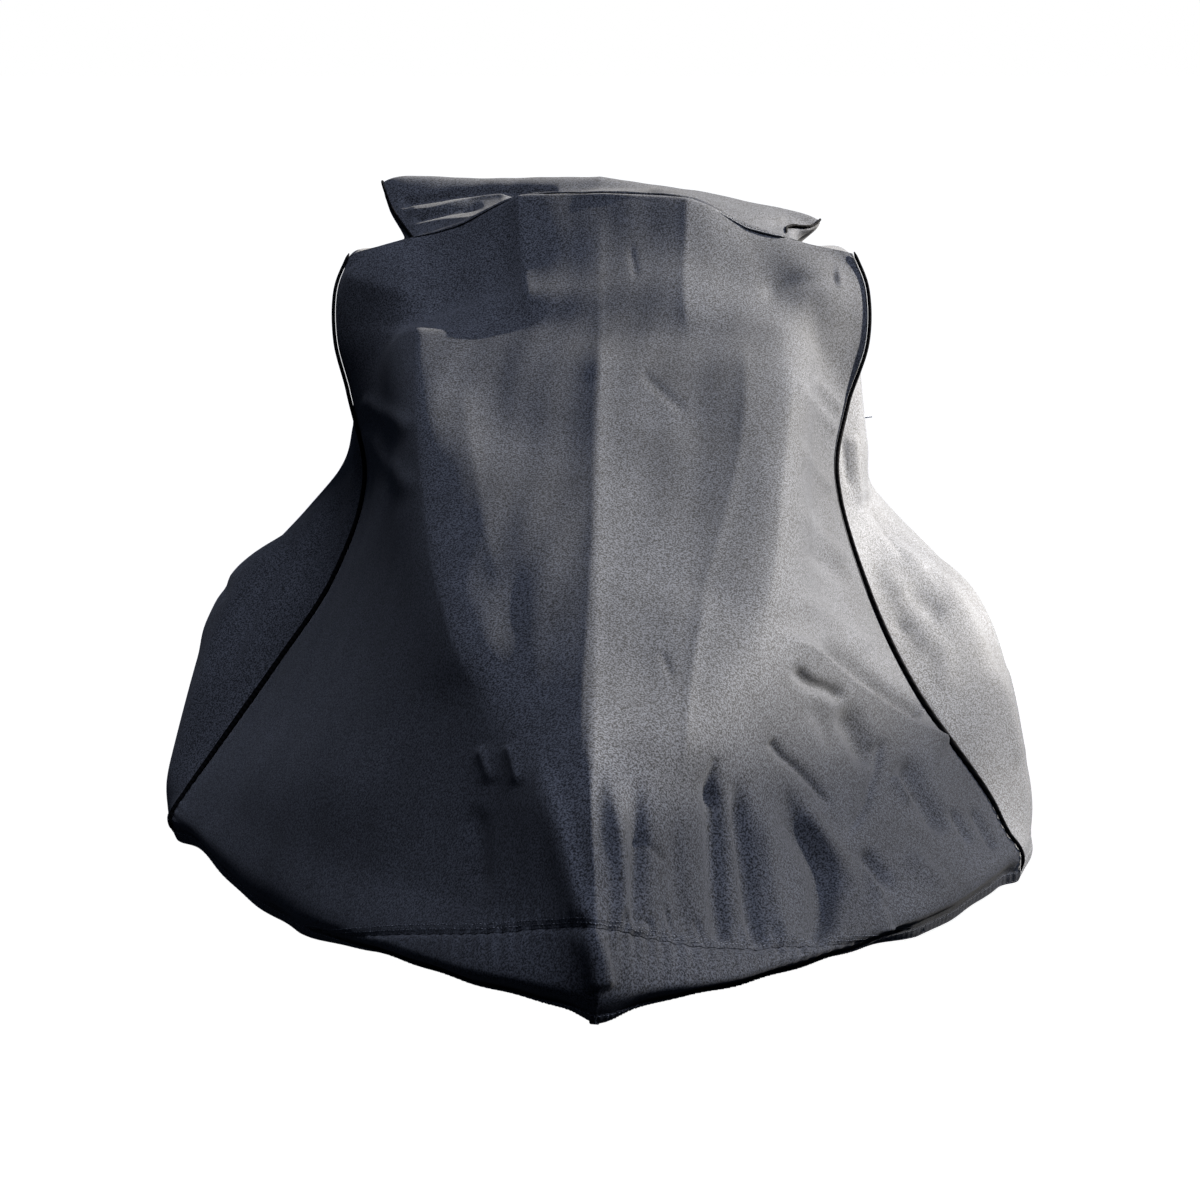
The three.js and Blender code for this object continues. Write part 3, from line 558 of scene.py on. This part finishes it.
def hood_place(cell, row):
    """A spot of the hood with its folds."""
    form = hood_cell(cell, row)
    out, by_cell, by_row = surface_frame(hood_cell, cell, row, *HOOD_CELLS)
    to_side = (HOOD - np.abs(cell)) * by_cell
    to_top, to_bow = (SEAM - row) * by_row, np.abs(row) * by_row
    to_hem = hood_up(cell, row) * HOOD_TALL
    spots, scale = in_photo(form)
    rise = sum(fold_rise(fold, spots, scale) for fold in HOOD_FOLDS)
    rise = (rise + slack(form)) * calm(to_side, 14) * calm(to_top, 6)
    bow = np.abs(cell) < BOW_SEAM_END
    rise = rise * np.where(bow, 0.45 + 0.55 * calm(to_bow, 12), 1)
    low = np.clip((120 - form[:, 2]) / 200, 0, 1)
    rise = rise + np.where(bow, gathers(form[:, 0], to_bow, 15, 1.7, 20) + sink(to_bow), 0)
    rise = rise + gathers(form[:, 2], to_side, 10, 1.3, 13) * low
    rise = rise + sink(to_side, 1.2, 9) + sink(to_top, 0.6)
    rise = rise - drawn_in(cell, to_hem) * calm(to_side, 30)
    rise = rise + hem_wave(form[:, 0], to_hem) * calm(to_side, 50)
    return form + out * rise[:, None]


# A panel runs on a little under its neighbour at a seam.
ALLOWANCE, TUCKED = 0.12, 1.5


def patch_place(cell, row):
    out = surface_frame(hood_cell, cell, row, *HOOD_CELLS)[0]
    under = TUCKED * np.clip((row + 0.05) / 0.05, 0, 1)
    return hood_place(cell, row) - out * under[:, None]


BODY_CELLS = ((-HEM, HEM), (0, BODY_LENGTH))
FRONT_REACH = 5.0


def side_place(cell, along):
    """A spot of the sides or the seat with its folds."""
    form = body_form(cell, along)
    out, by_cell, by_along = surface_frame(body_form, cell, along, *BODY_CELLS)
    out_cell = np.abs(cell)
    to_front, to_cross = along * by_along, np.abs(along - BAR_BACK) * by_along
    to_seat, to_hem = np.abs(out_cell - BAR_UNDER) * by_cell, (HEM - out_cell) * by_cell
    to_hem = np.minimum(to_hem, (BODY_LENGTH - along) * by_along)
    rise = slack(form)
    for side, fold in SIDE_FOLDS:
        rise = rise + np.where(cell * side > 0, fold_rise(fold, form[:, 1:], 1.0), 0)
    spots, scale = in_photo(form)
    front = sum(fold_rise(fold, spots, scale) for fold in FRONT_FOLDS)
    rise = rise + front * np.clip((FRONT_REACH - along) / 2, 0, 1) * (out_cell > BAR_UNDER)
    rise = rise * calm(to_front, 10) * calm(to_seat, 16) * calm(to_cross, 16)
    rise = rise + sink(to_front) + sink(to_seat, 1.8) + sink(to_cross, 1.8)
    rise = rise + hem_wave(form[:, 1], to_hem) * calm(to_front, 50)
    return form + out * rise[:, None]


def rear_place(cell, along):
    out = surface_frame(body_form, cell, along, *BODY_CELLS)[0]
    under = TUCKED * np.clip((BAR_BACK + 0.03 - along) / 0.03, 0, 1)
    return side_place(cell, along) - out * under[:, None]


# The free edge of the handlebar panel reaches this far down over the hood, in
# millimetres at cells from the centre line, and stands off it.
FLAP_CELLS = [-BAR_END, -8, -3, 3.6, 5, 8, 11, 12.4, BAR_END]
FLAP_REACH = [1.5, 3, 3, 1.2, 8, 15, 9, 5, 2]
FLAP_LIFT = [1, 2.5, 2.5, 0.6, 1.2, 2.2, 2.2, 2, 1.5]
FLAP_UNIT = 40.0


def bar_place(cell, along):
    """A spot of the handlebar panel. Along runs below 0 on the part that hangs over the hood."""
    back = np.maximum(along, 0)
    form = body_form(cell, back)
    out, _, by_along = surface_frame(body_form, cell, back, *BODY_CELLS)
    top = np.full(len(cell), float(SEAM))
    hood_out, _, by_row = surface_frame(hood_cell, cell, top, *HOOD_CELLS)
    reach = np.interp(cell, FLAP_CELLS, FLAP_REACH) * np.clip(-along * FLAP_UNIT / max(FLAP_REACH), 0, 1)
    hanging = (along < 0)[:, None]
    lift = np.interp(cell, FLAP_CELLS, FLAP_LIFT)
    over = hood_cell(cell, top - reach / by_row) + hood_out * lift[:, None]
    spots, scale = in_photo(form)
    rise = sum(fold_rise(fold, spots, scale) for fold in BAR_FOLDS) * calm(back * by_along + 3, 8)
    rise = rise + slack(form) + sink(np.abs(along - BAR_BACK) * by_along, 1.8)
    turn = np.exp(-back * by_along / 16)[:, None]
    raised = form + out * rise[:, None] + (hood_out * turn + out * (1 - turn)) * (lift[:, None] * turn)
    return np.where(hanging, over, raised)


def gusset_place(cell, along):
    form = body_form(cell, along)
    out, by_cell, _ = surface_frame(body_form, cell, along, *BODY_CELLS)
    to_edge = np.minimum(np.abs(cell) - BAR_END, BAR_UNDER - np.abs(cell)) * by_cell
    rise = sink(to_edge, 2.0, 4.0) + 1.4 * np.sin(form[:, 1] / 17) * calm(to_edge, 8)
    return form + out * rise[:, None]


# The hem's casing, from its upper edge over the cloth, round the hem and up
# inside: millimetres above the hem, and out from the cloth.
CASING = [(17, 0.2), (16, 1.2), (13, 2.2), (8, 2.6), (3, 2.4), (0, 1.8), (-2, 0.4), (-2.6, -1.2),
          (-2, -2.8), (2, -3.8), (9, -3.6), (15, -3)]
RIB_PITCH, RIB_HEIGHT = 7.0, 0.55


def hood_sheet(cell, up):
    return hood_form(cell / HOOD, up)


def hood_edge(cell, above):
    """Where the hood's hem lies, the way out of it, and how far the cloth is moved out there."""
    at_hem = np.zeros(len(cell))
    out, by_cell, by_up = surface_frame(hood_sheet, cell, at_hem, (-HOOD, HOOD), (0, 1))
    base = hood_sheet(cell, above / by_up)
    to_side = (HOOD - np.abs(cell)) * by_cell
    moved = hem_wave(base[:, 0], above) * calm(to_side, 50)
    return base, out, moved - drawn_in(cell, above) * calm(to_side, 30)


def side_edge(side):
    def edge(along, above):
        at_hem = np.full(len(along), float(side * HEM))
        out, by_cell, by_along = surface_frame(body_form, at_hem, along, *BODY_CELLS)
        base = body_form(side * (HEM - above / by_cell), along)
        return base, out, hem_wave(base[:, 1], above) * calm(along * by_along, 50)

    return edge


def stern_edge(cell, above):
    at_hem = np.full(len(cell), float(BODY_LENGTH))
    out, _, by_along = surface_frame(body_form, cell, at_hem, *BODY_CELLS)
    base = body_form(cell, BODY_LENGTH - above / by_along)
    return base, out, hem_wave(base[:, 1], above)


def casing_place(edge, axis):
    """Places on the folded casing of a hem. a runs along the hem, and b counts CASING's lines."""
    lines = range(len(CASING))

    def place(a, b):
        above = np.interp(b, lines, [line[0] for line in CASING])
        lift = np.interp(b, lines, [line[1] for line in CASING])
        base, out, moved = edge(a, np.maximum(above, 0))
        down = edge(a, np.zeros(len(a)))[0] - edge(a, np.full(len(a), 4.0))[0]
        down = down / np.linalg.norm(down, axis=1, keepdims=True)
        ribs = np.sin(2 * math.pi * base[:, axis] / RIB_PITCH + 0.9 * np.sin(base[:, axis] / 19))
        ribs = RIB_HEIGHT * ribs * np.sin(math.pi * np.clip(b / 5, 0, 1))
        return base + out * (lift + ribs + moved)[:, None] + down * np.maximum(-above, 0)[:, None]

    return place


def seam_line(place, frame_of, a, b, count):
    """Points along a line on a piece, with the ways out of it. a and b give its two ends, or an array."""
    spread = np.linspace(0, 1, count)
    a, b = (np.interp(spread, np.linspace(0, 1, len(ends)), ends) for ends in (a, b))
    return place(a, b), surface_frame(frame_of[0], a, b, *frame_of[1])[0]


HOOD_FRAME, BODY_FRAME = (hood_cell, HOOD_CELLS), (body_form, BODY_CELLS)
STITCH = {"length": 3.6, "thick": 0.75, "pitch": 5.4, "lift": 0.35}


def stitches(name, lines):
    """Short thread loops end to end along lines, each given as points and the ways out there."""
    template = bmesh.new()
    bmesh.ops.create_uvsphere(template, u_segments=6, v_segments=4, radius=0.5)
    loop = np.array([v.co for v in template.verts])
    loop_faces = [[v.index for v in face.verts] for face in template.faces]
    template.free()
    corners, faces = [], []
    for spots, outs in lines:
        reach = np.concatenate([[0], np.cumsum(np.linalg.norm(np.diff(spots, axis=0), axis=1))])
        middles = np.arange(STITCH["pitch"], reach[-1] - STITCH["pitch"] / 2, STITCH["pitch"])

        def at(values, where):
            return np.stack([np.interp(where, reach, values[:, k]) for k in range(3)], 1)

        run = at(spots, middles + 1) - at(spots, middles - 1)
        run /= np.linalg.norm(run, axis=1, keepdims=True)
        beside = np.cross(run, at(outs, middles))
        beside /= np.linalg.norm(beside, axis=1, keepdims=True)
        out = np.cross(beside, run)
        middle = at(spots, middles) + out * STITCH["lift"]
        for c, r, side, up in zip(middle, run, beside, out):
            faces += [[k + len(corners) * len(loop) for k in face] for face in loop_faces]
            axes = np.array([side * STITCH["thick"], up * STITCH["thick"], r * STITCH["length"]])
            corners.append(c + loop @ axes)
    mesh = bpy.data.meshes.new(name)
    mesh.from_pydata((np.concatenate(corners) - TOP_SUPPORT) * MM, [], faces)
    mesh.polygons.foreach_set("use_smooth", [True] * len(faces))
    return new_piece(name, mesh, "piping")


CORD_SIDES = 10


def cord(name, spots, outs, radius, lift, nodes=()):
    """A round cord laid along points, drawn to a point at both ends. Its radius may be an array."""
    steps = len(spots) - 1
    runs = np.gradient(spots, axis=0)
    runs /= np.linalg.norm(runs, axis=1, keepdims=True)
    beside = np.cross(runs, outs)
    beside /= np.linalg.norm(beside, axis=1, keepdims=True)
    ups = np.cross(beside, runs)
    full = np.broadcast_to(radius, len(spots))

    def place(a, b):
        k = a.astype(int)
        ends = np.clip(np.minimum(k, steps - k) / 3, 0.1, 1)
        r = (full[k] * np.sqrt(ends))[:, None]
        angle = 2 * math.pi * b[:, None]
        middle = spots[k] + ups[k] * (lift + full[k])[:, None]
        return middle - r * (ups[k] * np.cos(angle) + beside[k] * np.sin(angle))

    piece = grid_piece(name, np.arange(steps + 1), np.linspace(0, 1, CORD_SIDES + 1), place, "piping")[0]
    for node in nodes:
        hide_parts(node)
    return piece


canvas, cords = [], []
# A side's sign along X, its word in the scene's names and its word in the solids' names.
SIDES = ((-1, "port", "left"), (1, "starboard", "right"))


def sheet_piece(node, name, a_lines, b_lines, place, strips=()):
    """A panel of cloth that stands for its solid, with the strips sewn to it."""
    piece, width, length, area = grid_piece(name, a_lines, b_lines, place, "canvas")
    sewn = [grid_piece(*strip, "canvas") for strip in strips]
    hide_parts(node)
    area = min(area + sum(strip[3] for strip in sewn), width * length)
    canvas.extend([piece, *(strip[0] for strip in sewn)])
    return piece


CASING_LINES = np.arange(len(CASING)).astype(float)
# Grid lines for each cell across and, as those cells are longer, lengthwise.
CASING_PER_CELL = (18, 54)


def casing_strip(name, edge, axis, low, high):
    """A hem's casing from low to high along it. axis is 0 where the hem runs across, and 1 lengthwise."""
    count = max(2, round((high - low) * CASING_PER_CELL[axis] * DENSITY))
    return name, np.linspace(low, high, count), CASING_LINES, casing_place(edge, axis)


hood_pieces = [
    sheet_piece("hood_panel", "hood", grid_lines(330, -HOOD, HOOD, [(0, 0), (0.42, 0.5), (1, 1)]),
                grid_lines(240, 0, SEAM, [(0, 0), (0.12, 0.03), (0.62, 0.36), (1, 1)]), hood_place,
                [casing_strip("hem_casing", hood_edge, 0, -HOOD, HOOD)]),
    sheet_piece("bow_patch_left", "bow_patch_port", grid_lines(150, -BOW_SEAM_END, PATCH_SEAM),
                grid_lines(44, -PATCH_ROWS, ALLOWANCE), patch_place),
    sheet_piece("bow_patch_right", "bow_patch_starboard", grid_lines(200, PATCH_SEAM, BOW_SEAM_END),
                grid_lines(44, -PATCH_ROWS, ALLOWANCE), patch_place),
]
FLAP_START = -max(FLAP_REACH) / FLAP_UNIT
bar_lines = np.concatenate([[FLAP_START, FLAP_START * 0.8, FLAP_START * 0.5, FLAP_START * 0.2],
                            grid_lines(110, 0, BAR_BACK, seams=2)])
sheet_piece("handlebar_panel", "bar_top", grid_lines(220, -BAR_END, BAR_END), bar_lines, bar_place)
for side, word, end in SIDES:
    outward = sorted((side * BAR_END, side * BAR_UNDER))
    sheet_piece(f"handlebar_end_{end}", f"bar_gusset_{word}", grid_lines(16, *outward, seams=1.5),
                grid_lines(100, 0, BAR_BACK), gusset_place)
    outward = sorted((side * BAR_UNDER, side * HEM))
    sheet_piece(f"side_panel_{end}", f"side_{word}", grid_lines(180, *outward),
                grid_lines(104, 0, BAR_BACK), side_place,
                [casing_strip(f"side_casing_{word}", side_edge(side), 1, 0, BAR_BACK)])
    sheet_piece(f"rear_panel_{end}", f"rear_{word}", grid_lines(150, *outward),
                grid_lines(150, BAR_BACK - ALLOWANCE, BODY_LENGTH, seams=0.6), rear_place,
                [casing_strip(f"rear_casing_{word}", side_edge(side), 1, BAR_BACK, BODY_LENGTH),
                 casing_strip(f"stern_casing_{word}", stern_edge, 0, *outward)])
sheet_piece("seat_panel", "seat_top", grid_lines(110, -BAR_UNDER, BAR_UNDER),
            grid_lines(150, BAR_BACK - ALLOWANCE, BODY_LENGTH, seams=0.6), rear_place,
            [casing_strip("stern_casing", stern_edge, 0, -BAR_UNDER, BAR_UNDER)])

# Piping in the seams. The side seams' is thickest halfway down, with thinner ends,
# and stands as high all along.
SIDE_CORD_ROWS, SIDE_CORD_RADIUS = (0, 2.5, 6, 11, SEAM), (2.6, 3.2, 4.6, 3.6, 2.7)
SIDE_CORD_STANDS, BAR_CORD_RADIUS, LOWER_CORD_RADIUS, FLAP_CORD_RADIUS = 2.6, 2.0, 1.6, 1.5
SIDE_CORD_STEPS, CORD_STEPS = 300, 120
for side, word, end in SIDES:
    rows = np.linspace(0.25, SEAM, SIDE_CORD_STEPS)
    cells = side * (HEM - rows)
    body_out = surface_frame(body_form, cells, np.zeros(len(rows)), *BODY_CELLS)[0]
    hood_out = surface_frame(hood_cell, np.full(len(rows), float(side * HOOD)), rows, *HOOD_CELLS)[0]
    out = body_out + hood_out
    out /= np.linalg.norm(out, axis=1, keepdims=True)
    thick = np.interp(rows, SIDE_CORD_ROWS, SIDE_CORD_RADIUS)
    seam = body_front(cells) - out * (thick - SIDE_CORD_STANDS)[:, None]
    cords.append(cord(f"side_cord_{word}", seam, out, thick, 0, [f"side_piping_{end}"]))
    along = (0.3, BAR_BACK)
    spots, out = seam_line(bar_place, BODY_FRAME, (side * BAR_END,) * 2, along, CORD_STEPS)
    cords.append(cord(f"bar_cord_{word}", spots, out, BAR_CORD_RADIUS, 0, [f"bar_piping_{end}"]))
    spots, out = seam_line(body_form, BODY_FRAME, (side * BAR_UNDER,) * 2, along, CORD_STEPS)
    cords.append(cord(f"bar_lower_cord_{word}", spots, out, LOWER_CORD_RADIUS, -1))
FLAP_BOUND = (3.9, 12.3)
flap_cells = np.linspace(*FLAP_BOUND, CORD_STEPS)
flap = bar_place(flap_cells, np.full(CORD_STEPS, FLAP_START))
flap_out = surface_frame(hood_cell, flap_cells, np.full(CORD_STEPS, float(SEAM)), *HOOD_CELLS)[0]
flap_cord = cord("flap_cord", flap, flap_out, FLAP_CORD_RADIUS, -1.2, ["flap_binding"])

# Stitching: a double row over the bow seam, rows along the casing, beside the
# cross seam and over the flap's edge. Each row lies so many of its grid's lines
# from the seam or the edge.
BOW_ROWS, CASING_ROWS, CROSS_ROWS = (0.07, 0.15), (1.3, 4.4), (-0.08, 0.08)
BOW_STEPS, LONG_STEPS, FLAP_STEPS = 900, 700, 200
bow_ends = np.array([-BOW_SEAM_END, BOW_SEAM_END]) * 0.985
hood_threads = stitches("bow_stitching", [
    seam_line(hood_place, HOOD_FRAME, bow_ends, (row, row), BOW_STEPS) for row in BOW_ROWS
])


def casing_line(edge, axis, low, high, row):
    a = np.linspace(low, high, LONG_STEPS)
    spots = casing_place(edge, axis)(a, np.full(LONG_STEPS, row))
    return spots, edge(a, np.zeros(LONG_STEPS))[1]


casing_threads = stitches("casing_stitching", [
    casing_line(hood_edge, 0, -HOOD + 0.1, HOOD - 0.1, row) for row in CASING_ROWS
])
side_threads = stitches("side_stitching", [
    casing_line(side_edge(side), 1, 0.1, BODY_LENGTH - 0.1, CASING_ROWS[0]) for side in (-1, 1)
] + [casing_line(stern_edge, 0, -HEM + 0.3, HEM - 0.3, CASING_ROWS[0])])
cross_threads = stitches("cross_stitching", [
    seam_line(side_place, BODY_FRAME, ends, (BAR_BACK + row,) * 2, LONG_STEPS)
    for row in CROSS_ROWS for ends in ((-HEM + 0.3, -BAR_UNDER), (BAR_UNDER, HEM - 0.3))
])
flap_row = bar_place(np.linspace(5, 12, FLAP_STEPS), np.full(FLAP_STEPS, FLAP_START * 0.62))
flap_middle = CORD_STEPS // 2
flap_threads = stitches("flap_stitching", [
    (flap_row, np.repeat(flap_out[flap_middle:flap_middle + 1], FLAP_STEPS, 0))
])
threads = [hood_threads, casing_threads, side_threads, cross_threads, flap_threads]


# Materials

# How deep yarns stand, how long a slub is and how wide a patch, in metres.
RELIEF, SLUB, PATCH = 0.0004, 0.0022, 0.12


def linear(hex_colour):
    """An sRGB hex colour as linear RGBA."""
    parts = [int(hex_colour[k:k + 2], 16) / 255 for k in (1, 3, 5)]
    return [c / 12.92 if c <= 0.04045 else ((c + 0.055) / 1.055) ** 2.4 for c in parts] + [1.0]


def add_node(tree, kind, settings=None, links=None):
    """Adds a node, sets its properties and sockets, and links its inputs."""
    node = tree.nodes.new(kind)
    for name, value in (settings or {}).items():
        if hasattr(node, name):
            setattr(node, name, value)
        else:
            node.inputs[name].default_value = value
    for name, socket in (links or {}).items():
        tree.links.new(socket, node.inputs[name])
    return node


def new_material(name):
    material = bpy.data.materials.new(name)
    material.use_nodes = True
    material.node_tree.nodes.clear()
    return material, material.node_tree


def ramp(tree, height, stops):
    node = add_node(tree, "ShaderNodeValToRGB", links={"Fac": height})
    for element, (position, colour) in zip(node.color_ramp.elements, stops):
        element.position, element.color = position, linear(colour)
    return node.outputs["Color"]


def finish_material(tree, colour, height, bump, surface):
    """The shader with its bump, and the material's output."""
    strength, depth = bump
    bumps = add_node(tree, "ShaderNodeBump", {"Strength": strength, "Distance": depth}, {"Height": height})
    shader = add_node(tree, "ShaderNodeBsdfPrincipled", surface,
                      {"Base Color": colour, "Normal": bumps.outputs["Normal"]})
    add_node(tree, "ShaderNodeOutputMaterial", links={"Surface": shader.outputs["BSDF"]})


def woven_polyester():
    """Black solution-dyed polyester canvas: a fine heathered grain under a dull sheen."""
    material, tree = new_material("woven_polyester_canvas")
    place = add_node(tree, "ShaderNodeTexCoord").outputs["Object"]
    # Slubs in the yarn: the salt-and-pepper grain of the cloth.
    grain = add_node(tree, "ShaderNodeTexNoise", {"Scale": 1 / SLUB, "Detail": 2.0, "Roughness": 0.65},
                     {"Vector": place}).outputs["Fac"]
    tone = ramp(tree, grain, ((0.4, "#131416"), (0.6, "#4c4e53")))
    # Uneven dye and dust, in patches a hand wide.
    patches = add_node(tree, "ShaderNodeTexNoise", {"Scale": 1 / PATCH, "Detail": 3.0}, {"Vector": place})
    shade = ramp(tree, patches.outputs["Fac"], ((0.3, "#dcdcdc"), (0.7, "#ffffff")))
    both = add_node(tree, "ShaderNodeMix", {"data_type": "RGBA", "blend_type": "MULTIPLY"})
    both.inputs["Factor"].default_value = 1.0
    tree.links.new(tone, both.inputs["A"])
    tree.links.new(shade, both.inputs["B"])
    finish_material(tree, both.outputs["Result"], grain, (0.35, RELIEF), {
        "Roughness": 0.8, "Specular IOR Level": 0.12, "Sheen Weight": 0.06, "Sheen Roughness": 0.5})
    return material


def twisted(name, dark, light, pitch, roughness, shine=0.3):
    """Cord or thread: fine slanted ribs of twisted yarn, darker between them."""
    material, tree = new_material(name)
    place = add_node(tree, "ShaderNodeTexCoord").outputs["Object"]
    slant = {"Scale": 1 / pitch, "Distortion": 1.5, "bands_direction": "DIAGONAL"}
    ribs = add_node(tree, "ShaderNodeTexWave", slant, {"Vector": place}).outputs["Fac"]
    finish_material(tree, ramp(tree, ribs, ((0.2, dark), (0.8, light))), ribs, (0.5, RELIEF), {
        "Roughness": roughness, "Specular IOR Level": shine})
    return material


def plain(name, colour, roughness, glow=0.0):
    material = bpy.data.materials.new(name)
    material.use_nodes = True
    shader = material.node_tree.nodes["Principled BSDF"]
    shader.inputs["Base Color"].default_value = linear(colour)
    shader.inputs["Roughness"].default_value = roughness
    shader.inputs["Emission Color"].default_value = (1, 1, 1, 1)
    shader.inputs["Emission Strength"].default_value = glow
    return material


def dress(pieces, material):
    for piece in pieces:
        piece.data.materials.clear()
        piece.data.materials.append(material)


dress(canvas, woven_polyester())
# Black cord in the seams, its ribs almost without shine.
dress(cords, twisted("corded_piping", "#020202", "#0b0b0c", 0.02, 0.9, 0.02))
# Dark grey thread, a little paler than the cloth.
dress(threads, twisted("bonded_thread", "#4a4b4e", "#8e9094", 0.004, 0.7, 0.1))
# The flap's edge is bound in tape of the cloth's own grey.
dress([flap_cord], twisted("edge_tape", "#26272a", "#55575b", 0.005, 0.8, 0.1))
# Pale grey folded tape.
dress([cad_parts["side_tab"]], twisted("folded_tape", "#96989b", "#c2c4c6", 0.006, 0.75))

# Floor, light and camera

FLOOR_SIZE = 60
FLOOR_BELOW = 0.006
floor_mesh = bmesh.new()
bmesh.ops.create_grid(floor_mesh, x_segments=1, y_segments=1, size=FLOOR_SIZE)
floor_data = bpy.data.meshes.new("floor")
floor_mesh.to_mesh(floor_data)
floor_mesh.free()
floor = bpy.data.objects.new("floor", floor_data)
floor.location.z = cad_box[0].z - FLOOR_BELOW
floor.visible_diffuse = False
floor.visible_glossy = False
floor.data.materials.append(plain("pale_floor", "#d8d8d8", 0.9, 1.0))
bpy.context.scene.collection.objects.link(floor)

# The studio: a bluish fill from above, less from below, and a white backdrop.
world = bpy.data.worlds.new("studio")
world.use_nodes = True
tree = world.node_tree
tree.nodes.clear()
WORLD_FILL, WORLD_SEEN = 0.14, 1.0
way = add_node(tree, "ShaderNodeSeparateXYZ",
               links={"Vector": add_node(tree, "ShaderNodeTexCoord").outputs["Generated"]})
sky = ramp(tree, way.outputs["Z"], ((0.0, "#4a5468"), (0.5, "#b4c6f0")))
fill = add_node(tree, "ShaderNodeBackground", {"Strength": WORLD_FILL}, {"Color": sky})
seen = add_node(tree, "ShaderNodeBackground", {"Color": (1, 1, 1, 1), "Strength": WORLD_SEEN})
path = add_node(tree, "ShaderNodeLightPath")
both = add_node(tree, "ShaderNodeMixShader", links={"Fac": path.outputs["Is Camera Ray"]})
tree.links.new(fill.outputs["Background"], both.inputs[1])
tree.links.new(seen.outputs["Background"], both.inputs[2])
add_node(tree, "ShaderNodeOutputWorld", links={"Surface": both.outputs["Shader"]})
bpy.context.scene.world = world
bpy.context.scene.view_settings.view_transform = "Standard"


def lit_group(name, things):
    group = bpy.data.collections.new(name)
    for thing in things:
        group.objects.link(thing)
    return group


on_hood = [*hood_pieces, bpy.data.objects["hem_casing"], hood_threads, casing_threads]
on_bar = [thing for thing in canvas if thing.name.startswith("bar_")]
others = [thing for thing in [*canvas, *cords, *threads, flap_cord, *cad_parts.values()]
          if thing not in on_hood + on_bar]
KEY_WAY = (math.radians(117), math.radians(19))
SPOT_WAY = (math.radians(117), math.radians(27))
TOP_WAY = (math.radians(60), math.radians(62))


def towards(azimuth, elevation):
    """The way to a lamp: azimuth from the front towards +X, and elevation from level."""
    level = math.cos(elevation)
    return Vector((math.sin(azimuth) * level, -math.cos(azimuth) * level, math.sin(elevation)))


def lamp(name, kind, strength, colour, receivers, way, at=None, **settings):
    data = bpy.data.lights.new(name, kind)
    data.energy = strength
    data.color = linear(colour)[:3]
    for setting, value in settings.items():
        setattr(data, setting, value)
    light = bpy.data.objects.new(name, data)
    light.rotation_euler = way.to_track_quat("Z", "Y").to_euler()
    if at:
        light.location = at
    light.light_linking.receiver_collection = receivers
    bpy.context.scene.collection.objects.link(light)


WARM, COOL = "#fff9f0", "#d4dcf4"
SIDE_KEY, HOOD_KEY, SPOT = 23.0, 3.8, 37.0
KEY_SOFT = math.radians(1.5)
cover_lit = lit_group("cover", [*on_hood, *on_bar, *others])
# The low warm key comes from the right and a little behind. It has a lamp for the
# sides and a weaker one for the hood and the handlebar panel.
lamp("side_key", "SUN", SIDE_KEY, WARM, lit_group("sides", others), towards(*KEY_WAY), angle=KEY_SOFT)
lamp("hood_key", "SUN", HOOD_KEY, WARM, lit_group("hood_and_bar", [*on_hood, *on_bar]), towards(*KEY_WAY),
     angle=KEY_SOFT)
# A broad cool light from overhead.
TOP_LIGHT, TOP_SOFT = 4.3, math.radians(40)
lamp("top", "SUN", TOP_LIGHT, COOL, cover_lit, towards(*TOP_WAY), angle=TOP_SOFT)
# A wide far spot. The lower edge of its cone runs along the beam and slopes over
# the cover, so that the lower right side and the bow are dimmer.
SPOT_AWAY, SPOT_RADIUS, SPOT_SIZE, SPOT_BLEND = 32.0, 8.0, 0.06, 0.03
SPOT_LOW, SPOT_BACK, SPOT_TILT = 0.08, 1.0, 0.9
beam = towards(*SPOT_WAY)
level = Vector((-beam.y, beam.x, 0)).normalized()
beam_up = (beam.cross(level) + SPOT_TILT * level).normalized()
edge_point = Vector(-TOP_SUPPORT * MM) + beam_up * SPOT_LOW + beam_up.cross(beam) * SPOT_BACK
half = math.atan(SPOT_RADIUS / SPOT_AWAY)
lamp("wide_spot", "SPOT", SPOT * 2 * math.pi * SPOT_AWAY**2, WARM, cover_lit,
     beam * math.cos(half) - beam_up * math.sin(half), at=edge_point + beam * SPOT_AWAY,
     spot_size=2 * half, spot_blend=SPOT_BLEND, shadow_soft_size=SPOT_SIZE)

camera = bpy.data.objects.new("camera", bpy.data.cameras.new("camera"))
camera.location = (CAMERA_AT - TOP_SUPPORT) * MM
camera.rotation_euler = (math.pi / 2 - CAMERA_DOWN, 0, 0)
camera.data.sensor_width = SENSOR_MM
camera.data.lens = PIXELS_PER_TANGENT * SENSOR_MM / PHOTO_SIZE
bpy.context.scene.collection.objects.link(camera)
bpy.context.scene.camera = camera
